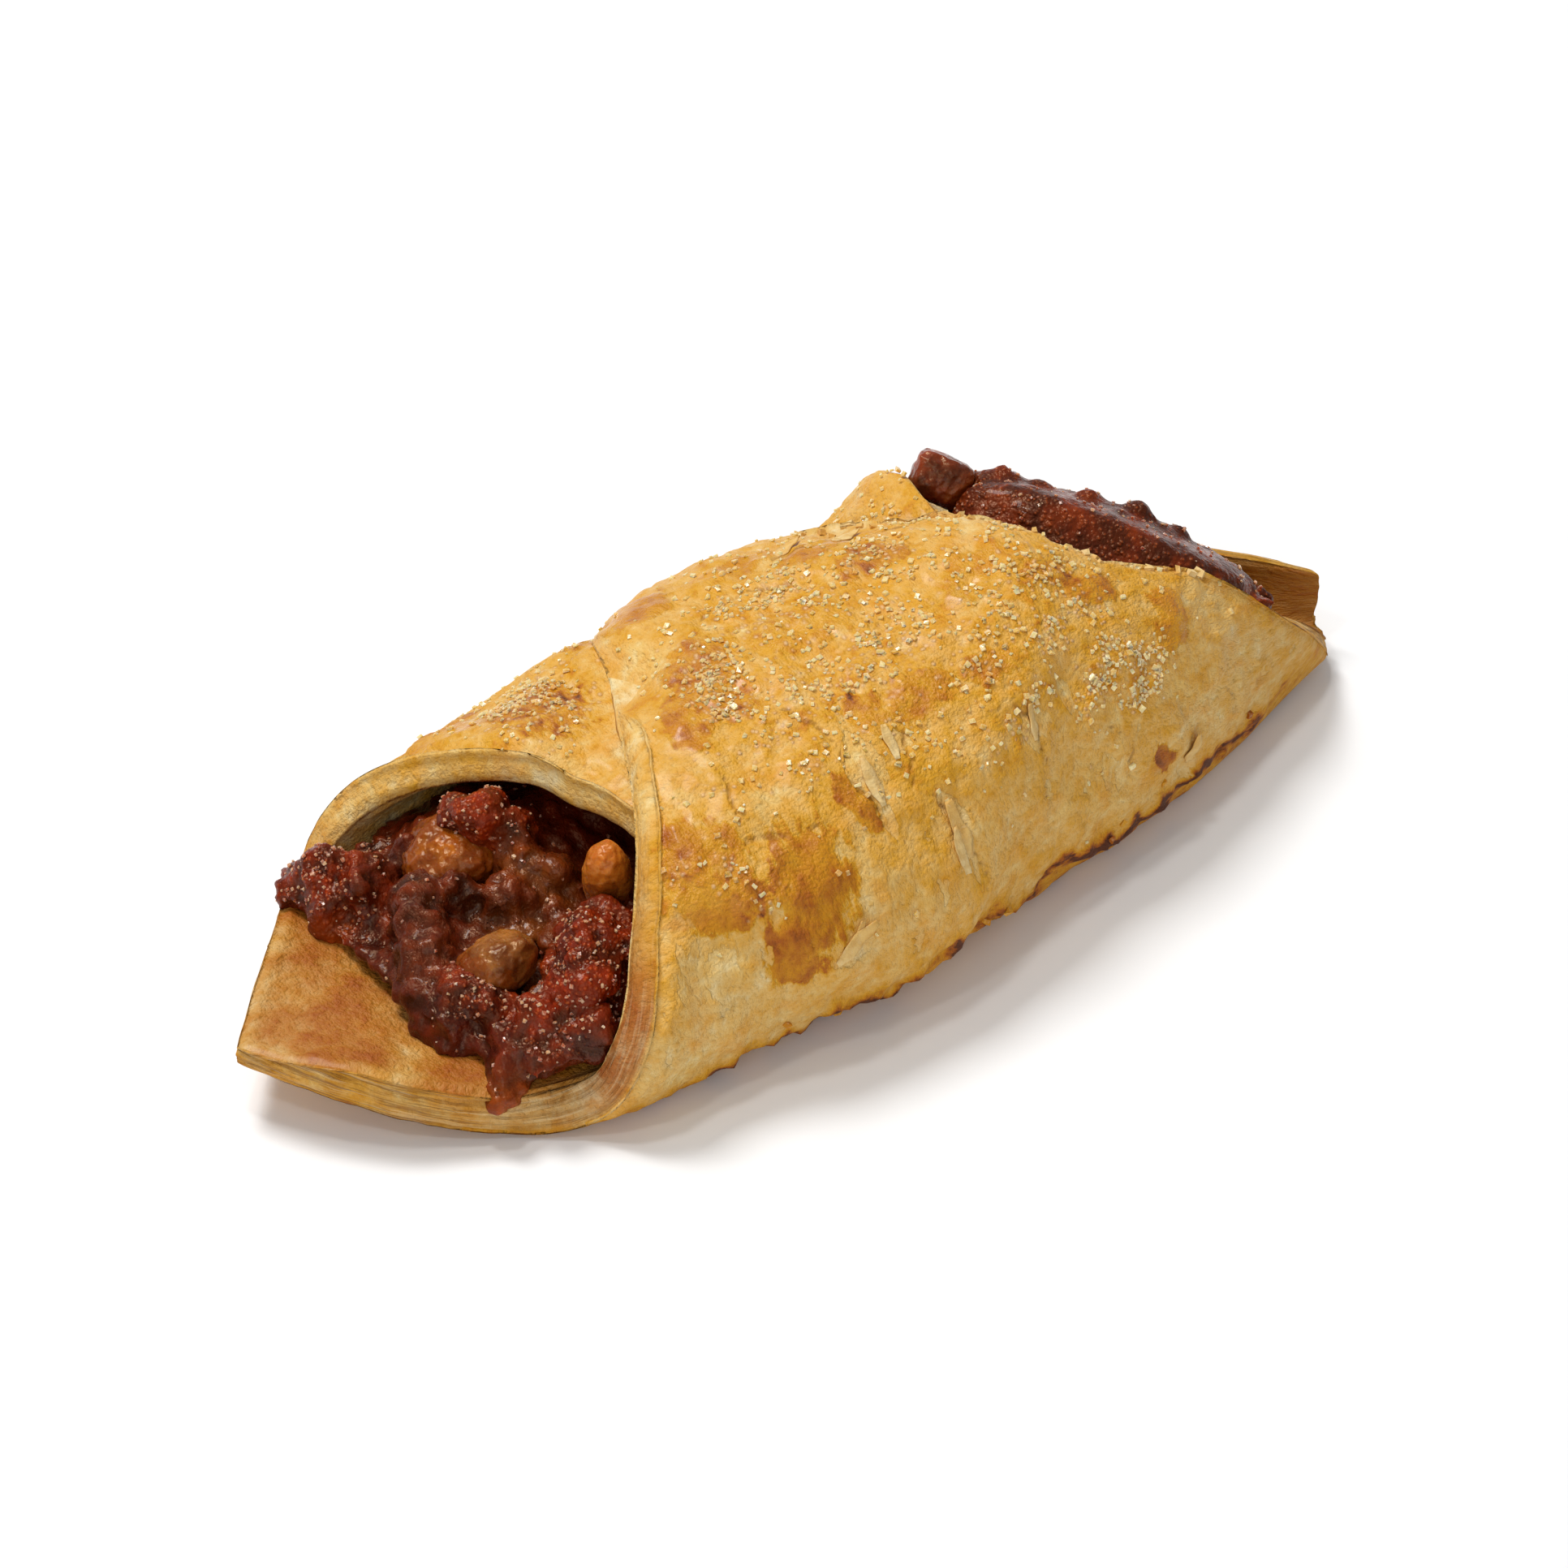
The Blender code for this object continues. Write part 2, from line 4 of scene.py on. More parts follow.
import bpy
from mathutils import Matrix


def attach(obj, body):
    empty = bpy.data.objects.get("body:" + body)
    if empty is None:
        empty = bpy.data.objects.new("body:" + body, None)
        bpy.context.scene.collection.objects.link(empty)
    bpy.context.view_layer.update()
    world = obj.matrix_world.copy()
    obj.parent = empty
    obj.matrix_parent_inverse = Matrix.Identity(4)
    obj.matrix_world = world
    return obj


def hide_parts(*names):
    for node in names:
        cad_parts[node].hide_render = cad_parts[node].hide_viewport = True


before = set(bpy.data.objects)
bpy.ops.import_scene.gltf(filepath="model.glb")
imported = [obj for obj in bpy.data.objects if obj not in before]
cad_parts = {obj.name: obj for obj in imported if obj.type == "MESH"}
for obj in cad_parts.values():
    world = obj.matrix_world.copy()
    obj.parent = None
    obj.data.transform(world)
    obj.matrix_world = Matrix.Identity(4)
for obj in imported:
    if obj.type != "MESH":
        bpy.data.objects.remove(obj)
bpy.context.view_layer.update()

import math

import bmesh
import bpy
import numpy as np
from mathutils import Matrix, Vector
from mathutils.bvhtree import BVHTree


# ---------------------------------------------------------------- the dough's dimensions, as in the model
LENGTH = 0.140            # corner to corner of the finished pastry
DOUGH = 0.0043            # thickness of the baked dough
FLAP_GAP = 0.00048        # between the two flaps where they lie over one another
FLAP_PRESS = 0.38         # how far the lower flap sinks under the upper one, as a share of the dough
FLAP_THIN = 0.85          # thickness left in the upper flap over the lower one
BASE_SWELL = 0.28         # the front lip has risen by this share
CUT_FLARE = 0.0025        # the inner layers stand out past the outer ones along the near front cut
TIP_CURL = 0.0063         # how far the front corner curls up
TAIL_CURL = 0.0020        # how far the back corner curls up
STAND = 0.0001            # the flat of the underside is this far up: the pastry stands on four low places,
STAND_SPAN = 0.008        # each this wide to where it is level with the flat

# half width of the roll on each side, and its height, at stations along it (shares of the length)
NEAR_WIDTH = ((-.50, .184), (-.38, .187), (-.25, .187), (-.08, .179), (.0, .170), (.127, .147), (.255, .119),
              (.35, .083), (.42, .053), (.50, .022))
FAR_WIDTH = ((-.50, .159), (-.38, .182), (-.25, .203), (.0, .235), (.20, .250), (.30, .227), (.40, .159),
             (.46, .084), (.50, .022))
HEIGHT = ((-.50, .148), (-.40, .149), (-.30, .158), (-.20, .172), (-.10, .183), (.0, .188), (.10, .199),
          (.20, .209), (.30, .189), (.40, .156), (.46, .131), (.50, .119))
SHOULDER = .36            # height of the widest level, as a share of the height
HEEL = .27                # radius of the lower corner, as a share of the half width
HEEL_MOST = .050
SQUARENESS = 2.15         # of the rounded upper half

# the four cut edges of the dough square, (station, girth), from the front corner and to the back corner
NEAR_FRONT = ((-.50, 0), (-.498, .010), (-.431, .192), (-.297, .388), (-.216, .701), (-.139, 1.023), (-.096, 1.297),
              (-.049, 1.48), (.009, 1.54))
NEAR_BACK = ((.009, 1.54), (.094, 1.44), (.158, 1.264), (.209, 1.151), (.261, 1.029), (.343, .915), (.390, .778),
             (.461, .438), (.490, .160), (.50, 0))
FAR_FRONT = ((-.50, 0), (-.483, -.051), (-.402, -.275), (-.334, -.491), (-.265, -.694), (-.213, -.856),
             (-.182, -.985), (-.165, -1.140), (-.101, -1.28), (.0, -1.38))
FAR_BACK = ((.0, -1.38), (.085, -1.23), (.150, -1.05), (.193, -.90), (.203, -.76), (.236, -.62), (.327, -.512),
            (.432, -.508), (.495, -.530), (.50, 0))
GIRTH_UNIT = .48          # length of a unit of girth, as a share of the length, when spacing points along an edge
EASE = 3.2                # steepest change along the roll of the zone that the hidden flap lifts

# the far flap is puffed up by the filling near its back edge: station, girth, spans of both, height
PUFF = (.208, .68, .022, .15, .0029)

# the four low places that the pastry stands on: station, girth
FEET = ((-.285, .29), (-.285, -.29), (.30, .19), (.30, -.30))

CAD_STEPS = 34            # squares along each side of the dough in the model that this follows


# ---------------------------------------------------------------- curves
def curve(points, x):
    """A smooth curve through the points that never overshoots them."""
    xs, ys = (np.array(v, float) for v in zip(*points))
    x = np.asarray(x, float)
    h, d = np.diff(xs), np.diff(ys) / np.diff(xs)
    m = np.zeros_like(ys)
    m[0], m[-1] = d[0], d[-1]
    for i in range(1, len(xs) - 1):
        if d[i - 1] * d[i] > 0:
            w1, w2 = 2 * h[i] + h[i - 1], h[i] + 2 * h[i - 1]
            m[i] = (w1 + w2) / (w1 / d[i - 1] + w2 / d[i])
    i = np.clip(np.searchsorted(xs, x) - 1, 0, len(h) - 1)
    t = np.clip((x - xs[i]) / h[i], 0, 1)
    return ((2 * t**3 - 3 * t**2 + 1) * ys[i] + (t**3 - 2 * t**2 + t) * h[i] * m[i]
            + (3 * t**2 - 2 * t**3) * ys[i + 1] + (t**3 - t**2) * h[i] * m[i + 1])


def ease(x, low, high):
    t = np.clip((x - low) / (high - low), 0, 1)
    return t * t * (3 - 2 * t)


def edge(points, t):
    """(station, girth) at shares t of the way along a cut edge."""
    p = np.array(points, float)
    run = np.r_[0, np.cumsum(np.hypot(np.diff(p[:, 0]), GIRTH_UNIT * np.diff(p[:, 1])))]
    run /= run[-1]
    return np.stack([curve(list(zip(run, p[:, 0])), t), curve(list(zip(run, p[:, 1])), t)], -1)


# ---------------------------------------------------------------- the tube
STATIONS = np.linspace(-.5, .5, 201)
GIRTHS = np.linspace(0, 1, 121)


def half_section(width, height):
    """Half of the tube's section, from the middle of the base round to the crown: width and height at GIRTHS."""
    level, heel = SHOULDER * height, min(HEEL * width, HEEL_MOST)
    k1, k2, k3 = np.linspace(0, 1, 45, endpoint=False), np.linspace(0, np.pi / 2, 48, endpoint=False), np.linspace(0, np.pi / 2, 68)
    power = 2 / SQUARENESS
    out = np.concatenate([(width - heel) * k1, width - heel + heel * np.sin(k2), width * np.maximum(np.cos(k3), 0)**power])
    up = np.concatenate([0 * k1, level * (1 - np.cos(k2)), level + (height - level) * np.sin(k3)**power])
    run = np.r_[0, np.cumsum(np.hypot(np.diff(out), np.diff(up)))]
    return np.interp(GIRTHS, run / run[-1], out), np.interp(GIRTHS, run / run[-1], up)


def thickness(x, q):
    """Of the dough, as a share of the length: thinner towards the two end corners, risen at the front of the base."""
    t = DOUGH / LENGTH * (.45 + .55 * ease(np.hypot(x + .5, .45 * q), 0, .12)) * (.40 + .60 * ease(.5 - x, 0, .14))
    return t * (1 + BASE_SWELL * ease(-x, .15, .35) * (1 - ease(np.abs(q), .25, .6)))


def lining(x):
    """The plain thickness at a station, between the tube's outer and inner sections."""
    return DOUGH / LENGTH * (.45 + .55 * ease(x + .5, 0, .12)) * (.40 + .60 * ease(.5 - x, 0, .14))


def sections(widths, inset):
    w, h = curve(widths, STATIONS) - inset, curve(HEIGHT, STATIONS) - 2 * inset
    out, up = (np.array(v) for v in zip(*(half_section(a, b) for a, b in zip(w, h))))
    return out, up + (inset * np.ones_like(w))[:, None]


NEAR_HALF, FAR_HALF = sections(NEAR_WIDTH, 0), sections(FAR_WIDTH, 0)
NEAR_INNER, FAR_INNER = sections(NEAR_WIDTH, lining(STATIONS)), sections(FAR_WIDTH, lining(STATIONS))


def read(table, x, g):
    fx = np.clip((x + .5) * (len(STATIONS) - 1), 0, len(STATIONS) - 1.0001)
    fg = np.clip(g * (len(GIRTHS) - 1), 0, len(GIRTHS) - 1.0001)
    i, j = fx.astype(int), fg.astype(int)
    fx, fg = fx - i, fg - j
    return ((table[i, j] * (1 - fx) + table[i + 1, j] * fx) * (1 - fg)
            + (table[i, j + 1] * (1 - fx) + table[i + 1, j + 1] * fx) * fg)


def tube(x, q, near_half=NEAR_HALF, far_half=FAR_HALF):
    """Y and Z of the tube at a station and a girth, as shares of the length. Past the crown it comes down the other side."""
    x, q = np.asarray(x, float), np.asarray(q, float)
    g = np.abs(q)
    over = g > 1
    g = np.where(over, 2 - g, g)
    near = (q >= 0) ^ over
    at, girth, span_x, span_q, rise = PUFF
    puff = np.where(near, 0, rise / LENGTH * np.exp(-((x - at) / span_x)**2 - ((g - girth) / span_q)**2))
    out = np.where(near, -read(near_half[0], x, g), read(far_half[0], x, g))
    up = np.where(near, read(near_half[1], x, g), read(far_half[1], x, g))
    return out + .7 * puff, up + .7 * puff


def outward(x, q):
    """The tube's outward direction in its section."""
    y1, z1 = tube(x, q + .004)
    y0, z0 = tube(x, q - .004)
    ty, tz = y1 - y0, z1 - z0
    n = np.hypot(ty, tz) + 1e-12
    return -tz / n, ty / n


def inward(x, q, depth):
    """Y and Z at a depth below the tube: straight in at the front, and from the outer section towards the inner one
    at the narrow back, where straight in would cross over at the heels."""
    y, z = tube(x, q)
    ny, nz = outward(x, q)
    iy, iz = tube(x, q, NEAR_INNER, FAR_INNER)
    share, narrow = depth / lining(x), ease(x, .05, .25)
    return (y + (iy - y) * share * narrow - ny * depth * (1 - narrow),
            z + (iz - z) * share * narrow - nz * depth * (1 - narrow))


def curl(x):
    """How far the two end corners lift off the table."""
    return TIP_CURL / LENGTH * ease(-x, .30, .52)**1.3 + TAIL_CURL / LENGTH * ease(x, .36, .50)


def stand(x, q):
    """How far the dough is off the table near the middle of its underside."""
    away = np.min([np.hypot((x - a) * LENGTH, (q - g) * GIRTH_UNIT * LENGTH * .85) for a, g in FEET], axis=0)
    return STAND / LENGTH * ease(away, .0005, STAND_SPAN)


def reach(front, back, sign):
    """How far round a flap goes at each station, and the same with its steep ends eased out."""
    t = np.linspace(0, 1, 300)
    a, b = edge(front, t), edge(back, t)
    xs, rs = np.r_[a[:, 0], b[1:, 0]], sign * np.r_[a[:, 1], b[1:, 1]]
    order = np.argsort(xs, kind="stable")
    plain = np.interp(STATIONS, xs[order], rs[order])
    eased = (plain[None, :] - EASE * np.abs(STATIONS[:, None] - STATIONS[None, :])).max(1)
    return plain, eased


NEAR_REACH, NEAR_EASED = reach(NEAR_FRONT, NEAR_BACK, 1)
FAR_REACH, FAR_EASED = reach(FAR_FRONT, FAR_BACK, -1)


# ---------------------------------------------------------------- the dough
def sheet(a, b, w):
    """A point of the dough: a and b in the unit square of the sheet, w from its outer face, 0, to its inner face, 1."""
    a, b = np.asarray(a, float), np.asarray(b, float)
    A, B = a[..., None], b[..., None]
    c00, c10, c11, c01 = (np.array(v, float) for v in (NEAR_FRONT[0], NEAR_BACK[0], NEAR_BACK[-1], FAR_BACK[0]))
    place = ((1 - B) * edge(NEAR_FRONT, a) + B * edge(FAR_BACK, a) + (1 - A) * edge(FAR_FRONT, b) + A * edge(NEAR_BACK, b)
             - ((1 - A) * (1 - B) * c00 + A * (1 - B) * c10 + A * B * c11 + (1 - A) * B * c01))
    x, q = place[..., 0], place[..., 1]
    x = x - w * CUT_FLARE / LENGTH * (1 - ease(b, 0, .09)) * ease(q, .35, .55) * (1 - ease(q, 1.0, 1.25))
    ny, nz = outward(x, q)
    meets = 2 - np.interp(x, STATIONS, FAR_EASED)
    cover = np.where(q > 0, ease(q, meets - .36, meets - .02), 0)
    meets = 2 - np.interp(x, STATIONS, NEAR_EASED)
    under = np.where(q < 0, ease(-q, meets - .16, meets), 0)
    t = thickness(x, q)
    sealed = ease(q, .95, 1.2)
    t = t * (1 - (1 - FLAP_THIN) * cover) * (1 - .48 * (1 - ease(b, 0, .07)) * sealed) * (1 - .40 * (1 - ease(1 - a, 0, .07)) * sealed)
    press = FLAP_PRESS * DOUGH / LENGTH
    lift = cover * (t + FLAP_GAP / LENGTH - press) - under * press
    y, z = inward(x, q, w * t)
    return np.stack([x, y + ny * lift, z + nz * lift + curl(x) + stand(x, q)], -1) * LENGTH


# ---------------------------------------------------------------- noise, the same each run
def lattice(i, j, k, seed):
    """A number from 0 to 1 for each whole-numbered place."""
    h = (i * 374761393 + j * 668265263 + k * 1274126177 + seed * 974711) & 0xffffffff
    h = ((h ^ (h >> 15)) * 2246822519) & 0xffffffff
    h = ((h ^ (h >> 13)) * 3266489917) & 0xffffffff
    return ((h ^ (h >> 16)) & 0xffffff) / float(0xffffff)


def noise(p, size, seed):
    """Smooth noise from -1 to 1 with lumps about this size; the places and the size are in millimetres."""
    p = np.asarray(p, float) / size
    c = np.floor(p).astype(np.int64)
    f = p - c
    f = f * f * f * (f * (f * 6 - 15) + 10)
    out = 0
    for dx in (0, 1):
        for dy in (0, 1):
            for dz in (0, 1):
                w = (f[..., 0] if dx else 1 - f[..., 0]) * (f[..., 1] if dy else 1 - f[..., 1]) * (f[..., 2] if dz else 1 - f[..., 2])
                out = out + w * lattice(c[..., 0] + dx, c[..., 1] + dy, c[..., 2] + dz, seed)
    return 2 * out - 1


def rough(p, size, octaves, seed, fall=.5):
    """Noise with finer and finer detail, about -1 to 1."""
    total, weight = 0, 0
    for o in range(octaves):
        total = total + fall**o * noise(p, size / 2**o, seed + 17 * o)
        weight += fall**o
    return 1.6 * total / weight


def cells(p, size, seed):
    """Distance to the nearest and to the second nearest of scattered points about this far apart, and the nearest one's number."""
    p = np.asarray(p, float) / size
    c = np.floor(p).astype(np.int64)
    first, second, number = np.full(p.shape[:-1], 9.), np.full(p.shape[:-1], 9.), np.zeros(p.shape[:-1])
    for dx in (-1, 0, 1):
        for dy in (-1, 0, 1):
            for dz in (-1, 0, 1):
                i, j, k = c[..., 0] + dx, c[..., 1] + dy, c[..., 2] + dz
                at = np.stack([i + lattice(i, j, k, seed), j + lattice(i, j, k, seed + 1), k + lattice(i, j, k, seed + 2)], -1)
                d = np.sqrt(((p - at)**2).sum(-1))
                nearer = d < first
                second = np.where(nearer, first, np.minimum(second, d))
                number = np.where(nearer, lattice(i, j, k, seed + 3), number)
                first = np.where(nearer, d, first)
    return first, second, number


# ---------------------------------------------------------------- colours
def tone(r, g, b):
    """A screen colour as linear light."""
    c = np.array((r, g, b), float) / 255
    return np.where(c <= .04045, c / 12.92, ((c + .055) / 1.055)**2.4)


def ramp(t, stops):
    """Colours at the shares t along the stops (share, colour)."""
    at = [s for s, _ in stops]
    return np.stack([np.interp(t, at, [c[i] for _, c in stops]) for i in range(3)], -1)


def mix(a, b, share):
    share = np.clip(np.asarray(share, float), 0, 1)[..., None]
    return a * (1 - share) + b * share


# how far the dough is baked: raw and creamy, straw, golden, amber under thick wash, dark brown
BAKE = ((0, tone(232, 208, 154)), (.20, tone(224, 184, 110)), (.40, tone(219, 166, 74)), (.58, tone(213, 154, 30)),
        (.74, tone(200, 132, 6)), (.88, tone(166, 90, 5)), (1, tone(88, 42, 12)))


# ---------------------------------------------------------------- the crust
# Places on the crust are (station, girth). Patches: place, half spans of both, bake level.
AMBER = ((-.098, .655, .034, .085, .76), (-.126, .575, .026, .055, .80), (-.168, .745, .036, .082, .70), (-.155, .670, .034, .034, .78),
         (-.037, .735, .014, .055, .78), (.115, .840, .024, .034, .72), (.048, .850, .030, .042, .66), (.005, .860, .016, .040, .68),
         (.292, .835, .020, .055, .70), (.286, .760, .020, .045, .66), (.238, .905, .024, .035, .70), (-.112, .985, .018, .050, .72),
         (.083, 1.195, .032, .026, .70), (.108, 1.118, .028, .032, .68), (-.062, 1.085, .034, .055, .66), (-.080, 1.010, .034, .055, .66),
         (.252, .490, .011, .046, .86), (-.170, -.765, .040, .085, .72), (-.235, -.660, .040, .060, .64),
         (.160, 1.000, .036, .040, .58), (.200, .960, .030, .035, .64), (.020, 1.080, .050, .060, .58), (-.050, 1.290, .024, .040, .66),
         (.040, 1.265, .026, .035, .66), (-.060, -.600, .060, .110, .66), (.060, -.640, .050, .090, .68), (-.020, -.760, .040, .060, .74))
RAW = ((-.188, .600, .030, .062, .40), (-.016, .785, .012, .060, .85), (-.024, .700, .008, .040, .8), (.014, .790, .010, .024, .7),
       (.032, .630, .009, .070, .9), (-.082, .542, .016, .018, .9), (.286, .440, .013, .052, .9), (.172, .735, .010, .045, .5),
       (.124, .705, .014, .038, .55), (.200, .540, .010, .045, .4), (-.300, .480, .030, .060, .4))
# softly paler places, where one flap runs into the other and low on the sides
PALE = ((-.085, 1.165, .030, .080, .22), (-.132, -.980, .030, .160, .30), (-.205, -.880, .030, .080, .14), (-.240, .480, .070, .120, .12),
        (-.091, .798, .020, .036, .16), (.345, .800, .040, .090, .12), (.330, .600, .050, .120, .10), (-.060, .545, .030, .050, .10),
        (.012, .680, .018, .060, -.08), (.020, -.900, .090, .100, .12), (-.030, .960, .020, .060, .10), (.190, 1.080, .060, .040, .10))
# how thickly sugar lies: place, half spans, grains per square centimetre
SUGAR = ((-.065, 1.075, .036, .055, 170), (-.078, 1.000, .032, .055, 150), (-.060, .905, .030, .040, 130), (-.120, .850, .016, .030, 80),
         (-.054, .817, .016, .026, 130), (.108, 1.118, .032, .038, 150), (.170, .845, .032, .050, 120), (.144, .762, .022, .042, 170),
         (.113, .718, .018, .030, 120), (.196, .712, .020, .042, 200), (.230, .665, .022, .036, 180), (.250, .718, .024, .046, 180),
         (.218, .765, .026, .046, 170), (.200, .960, .040, .050, 150), (.226, .872, .026, .040, 100), (-.155, .730, .012, .030, 130),
         (-.138, .655, .017, .024, 120), (-.182, .745, .016, .024, 80), (.077, .696, .012, .016, 60), (.189, .570, .018, .060, 40),
         (.020, .950, .080, .090, 110), (.010, 1.140, .060, .080, 140), (-.165, -.755, .055, .120, 150), (.060, 1.000, .220, .270, 55),
         (-.020, -.700, .160, .200, 60), (.140, -.800, .080, .130, 60))
# where the wash has gone rusty brown under sugar
RUST = ((.108, 1.118, .028, .030, 1), (-.062, 1.088, .026, .038, .9), (-.078, 1.012, .020, .038, .8), (-.054, .815, .012, .020, .8),
        (.116, .838, .012, .020, .8), (-.190, .682, .022, .014, 1), (-.155, .735, .010, .022, .7), (.246, .470, .009, .024, 1),
        (-.185, -.735, .026, .050, 1), (.048, .840, .014, .018, .6), (.290, .835, .010, .030, .5))
# cracks, painted darker as shade in them: points along each, and its half width in millimetres
CRACKS = ((((-.132, .750), (-.119, .746), (-.100, .733), (-.080, .724)), .24),
          (((-.115, .905), (-.113, .860), (-.120, .820), (-.129, .752)), .22),
          (((-.046, .935), (-.034, .880), (-.027, .820), (-.027, .760), (-.029, .690)), .26),
          (((.022, .805), (.013, .765), (.009, .715)), .24), (((.026, .692), (.028, .640), (.036, .600), (.040, .552)), .26),
          (((.118, .760), (.128, .700), (.126, .640)), .16), (((.200, .640), (.214, .590), (.210, .545)), .16),
          (((.060, 1.230), (.090, 1.205), (.130, 1.200), (.160, 1.160)), .24), (((-.030, 1.180), (.010, 1.200), (.040, 1.170)), .20))
ALONG, ROUND = LENGTH * 1000, GIRTH_UNIT * LENGTH * 1000 * .93      # millimetres in a unit of station and of girth


def field(x, q, spots):
    """How far inside the nearest patch: over .5 inside, under .5 outside; and the bake level of the patches there."""
    near, level, weight = 0 * x, 0 * x, 1e-9 + 0 * x
    for at in spots:
        d = np.hypot((x - at[0]) / at[2], (q - at[1]) / at[3])
        f = np.clip(.5 + .8 * (1 - d), 0, 1)
        near = np.maximum(near, f)
        level, weight = level + at[4] * np.exp(12 * f), weight + np.exp(12 * f)
    return near, level / weight


def along_line(x, q, points):
    """Millimetres to a line of points."""
    best = np.full(np.shape(x), 99.)
    for (x0, q0), (x1, q1) in zip(points, points[1:]):
        u, v = (x1 - x0) * ALONG, (q1 - q0) * ROUND
        a, b = (x - x0) * ALONG, (q - q0) * ROUND
        t = np.clip((a * u + b * v) / (u * u + v * v), 0, 1)
        best = np.minimum(best, np.hypot(a - t * u, b - t * v))
    return best


def place_of(a, b):
    """Station and girth at a point of the sheet."""
    A, B = a[..., None], b[..., None]
    c00, c10, c11, c01 = (np.array(v, float) for v in (NEAR_FRONT[0], NEAR_BACK[0], NEAR_BACK[-1], FAR_BACK[0]))
    p = ((1 - B) * edge(NEAR_FRONT, a) + B * edge(FAR_BACK, a) + (1 - A) * edge(FAR_FRONT, b) + A * edge(NEAR_BACK, b)
         - ((1 - A) * (1 - B) * c00 + A * (1 - B) * c10 + A * B * c11 + (1 - A) * B * c01))
    return p[..., 0], p[..., 1]


def outer_look(a, b, p):
    """Of the crust's outer face at points of the sheet, p in millimetres: the shares that the material draws its
    colours from, and the relief in millimetres."""
    x, q = place_of(a, b)
    g = np.abs(q)
    flat = np.stack([x * ALONG, q * ROUND, 0 * x], -1)
    warp = np.stack([noise(p, 5, 1), noise(p, 5, 2)], -1)
    xw, qw = x + .008 * warp[..., 0], q + .018 * warp[..., 1]
    torn = rough(flat * (1, .42, 1), 2.6, 3, 5)              # runs down the sides
    fine, middling, wide = rough(p, 1.6, 2, 9), rough(p, 4.2, 3, 4), rough(p, 12, 2, 3)
    level = .40 + .05 * wide + .04 * middling
    washed = ease(g + .05 * torn + .03 * wide, .60, .72)
    level = level + washed * .07
    level = level - .05 * (1 - ease(g, .50, .66))
    amber, amber_level = field(xw, qw, AMBER)
    raw, raw_share = field(xw, qw, RAW)
    raw = raw * (.55 + .45 * raw_share)
    torn_off = ease(torn + .4 * fine - .45 * washed, .70, 1.0) * ease(g, .40, .50) * (1 - ease(g, .80, 1.05))
    raw = np.maximum(raw, .62 * torn_off)
    crack_shade = 0 * x
    for points, half in CRACKS:
        crack_shade = np.maximum(crack_shade, np.exp(-(along_line(xw, qw, points) / (half * 1.25))**2) * ease(torn + fine, -1.6, .2))
    # paler along the back cut, and a smooth pale corner where the near flap starts
    back_edge = np.exp(-((1 - a) * 126 / 3.0)**2) * ease(q, .85, 1.0)
    level = level - .30 * back_edge * (.7 + .5 * middling)
    # the lower corner and the underside bake darkest
    low = 1 - ease(g + .035 * torn, .330, .410)
    along = np.interp(x, (-.30, -.10, .00, .12, .22), (.360, .370, .400, .390, .355))
    lip = np.exp(-((g + .035 * torn - along) / .024)**2) * ease(x, -.36, -.12) * (1 - ease(x, .30, .44)) * (q > 0)
    level = level + low * (.70 + .06 * middling + .05 * fine - level) + lip * .66 * (.85 + .4 * middling)
    level = level + ease(-x, .30, .40) * (.62 + .06 * middling - level) * .7
    level = level + ease(x, .42, .49) * (.52 + .06 * middling - level) * .6
    for at in PALE:
        level = level - at[4] * np.exp(-((xw - at[0]) / at[2])**2 - ((qw - at[1]) / at[3])**2)
    sugar = 0 * x
    for at in SUGAR:
        d = np.hypot((xw - at[0]) / at[2], (qw - at[1]) / at[3])
        sugar = np.maximum(sugar, min(1, at[4] / 130) * np.exp(-1.0 * d**2.4))
    rust, _ = field(xw, qw, RUST)
    ragged = ease(amber + .20 * torn + .10 * fine, .44, .56)
    bare = ease(raw + .22 * torn + .10 * fine, .44, .60)
    folds = (1 - np.abs(rough(flat * (1, .30, 1), 3.4, 2, 6)))**3          # wrinkles round the roll
    relief = (.50 * wide + .40 * middling + .12 * fine + .07 * torn * (1 - .4 * washed) + .10 * ragged - .22 * bare * (1 + .5 * torn)
              - .12 * folds * ease(g, .38, .5) * (1 - .6 * ease(g, .95, 1.1)) - .22 * crack_shade + lip * (.35 + .75 * rough(p, 2.6, 2, 12)) + .10 * sugar * fine)
    # the flaps run together in a soft valley at the front, and the far one has a shoulder at the back
    relief = relief + 1.3 * np.exp(-((x + .092) / .024)**2 - ((q - 1.27) / .07)**2) + 2.1 * np.exp(-((x + .100) / .034)**2 - ((q + .68) / .09)**2)
    relief = relief - 1.5 * np.exp(-((x - .130) / .032)**2 - ((q - 1.27) / .09)**2) - 1.5 * np.exp(-((x - .135) / .032)**2 - ((q + .66) / .10)**2)
    relief = relief * (.10 + .90 * ease(g, .24, .34)) * (1 - .6 * ease(x, .38, .46)) * (1 - .5 * ease(-x, .36, .46))
    return dict(bake=level, amber=amber, amber_bake=amber_level, raw=raw, rust=rust, crack_shade=crack_shade,
                shine=np.clip(washed * (.35 + .65 * ragged) * (1 - bare), 0, 1), sugar=sugar, cut=0 * x, leaf=0 * x, toast=0 * x), relief


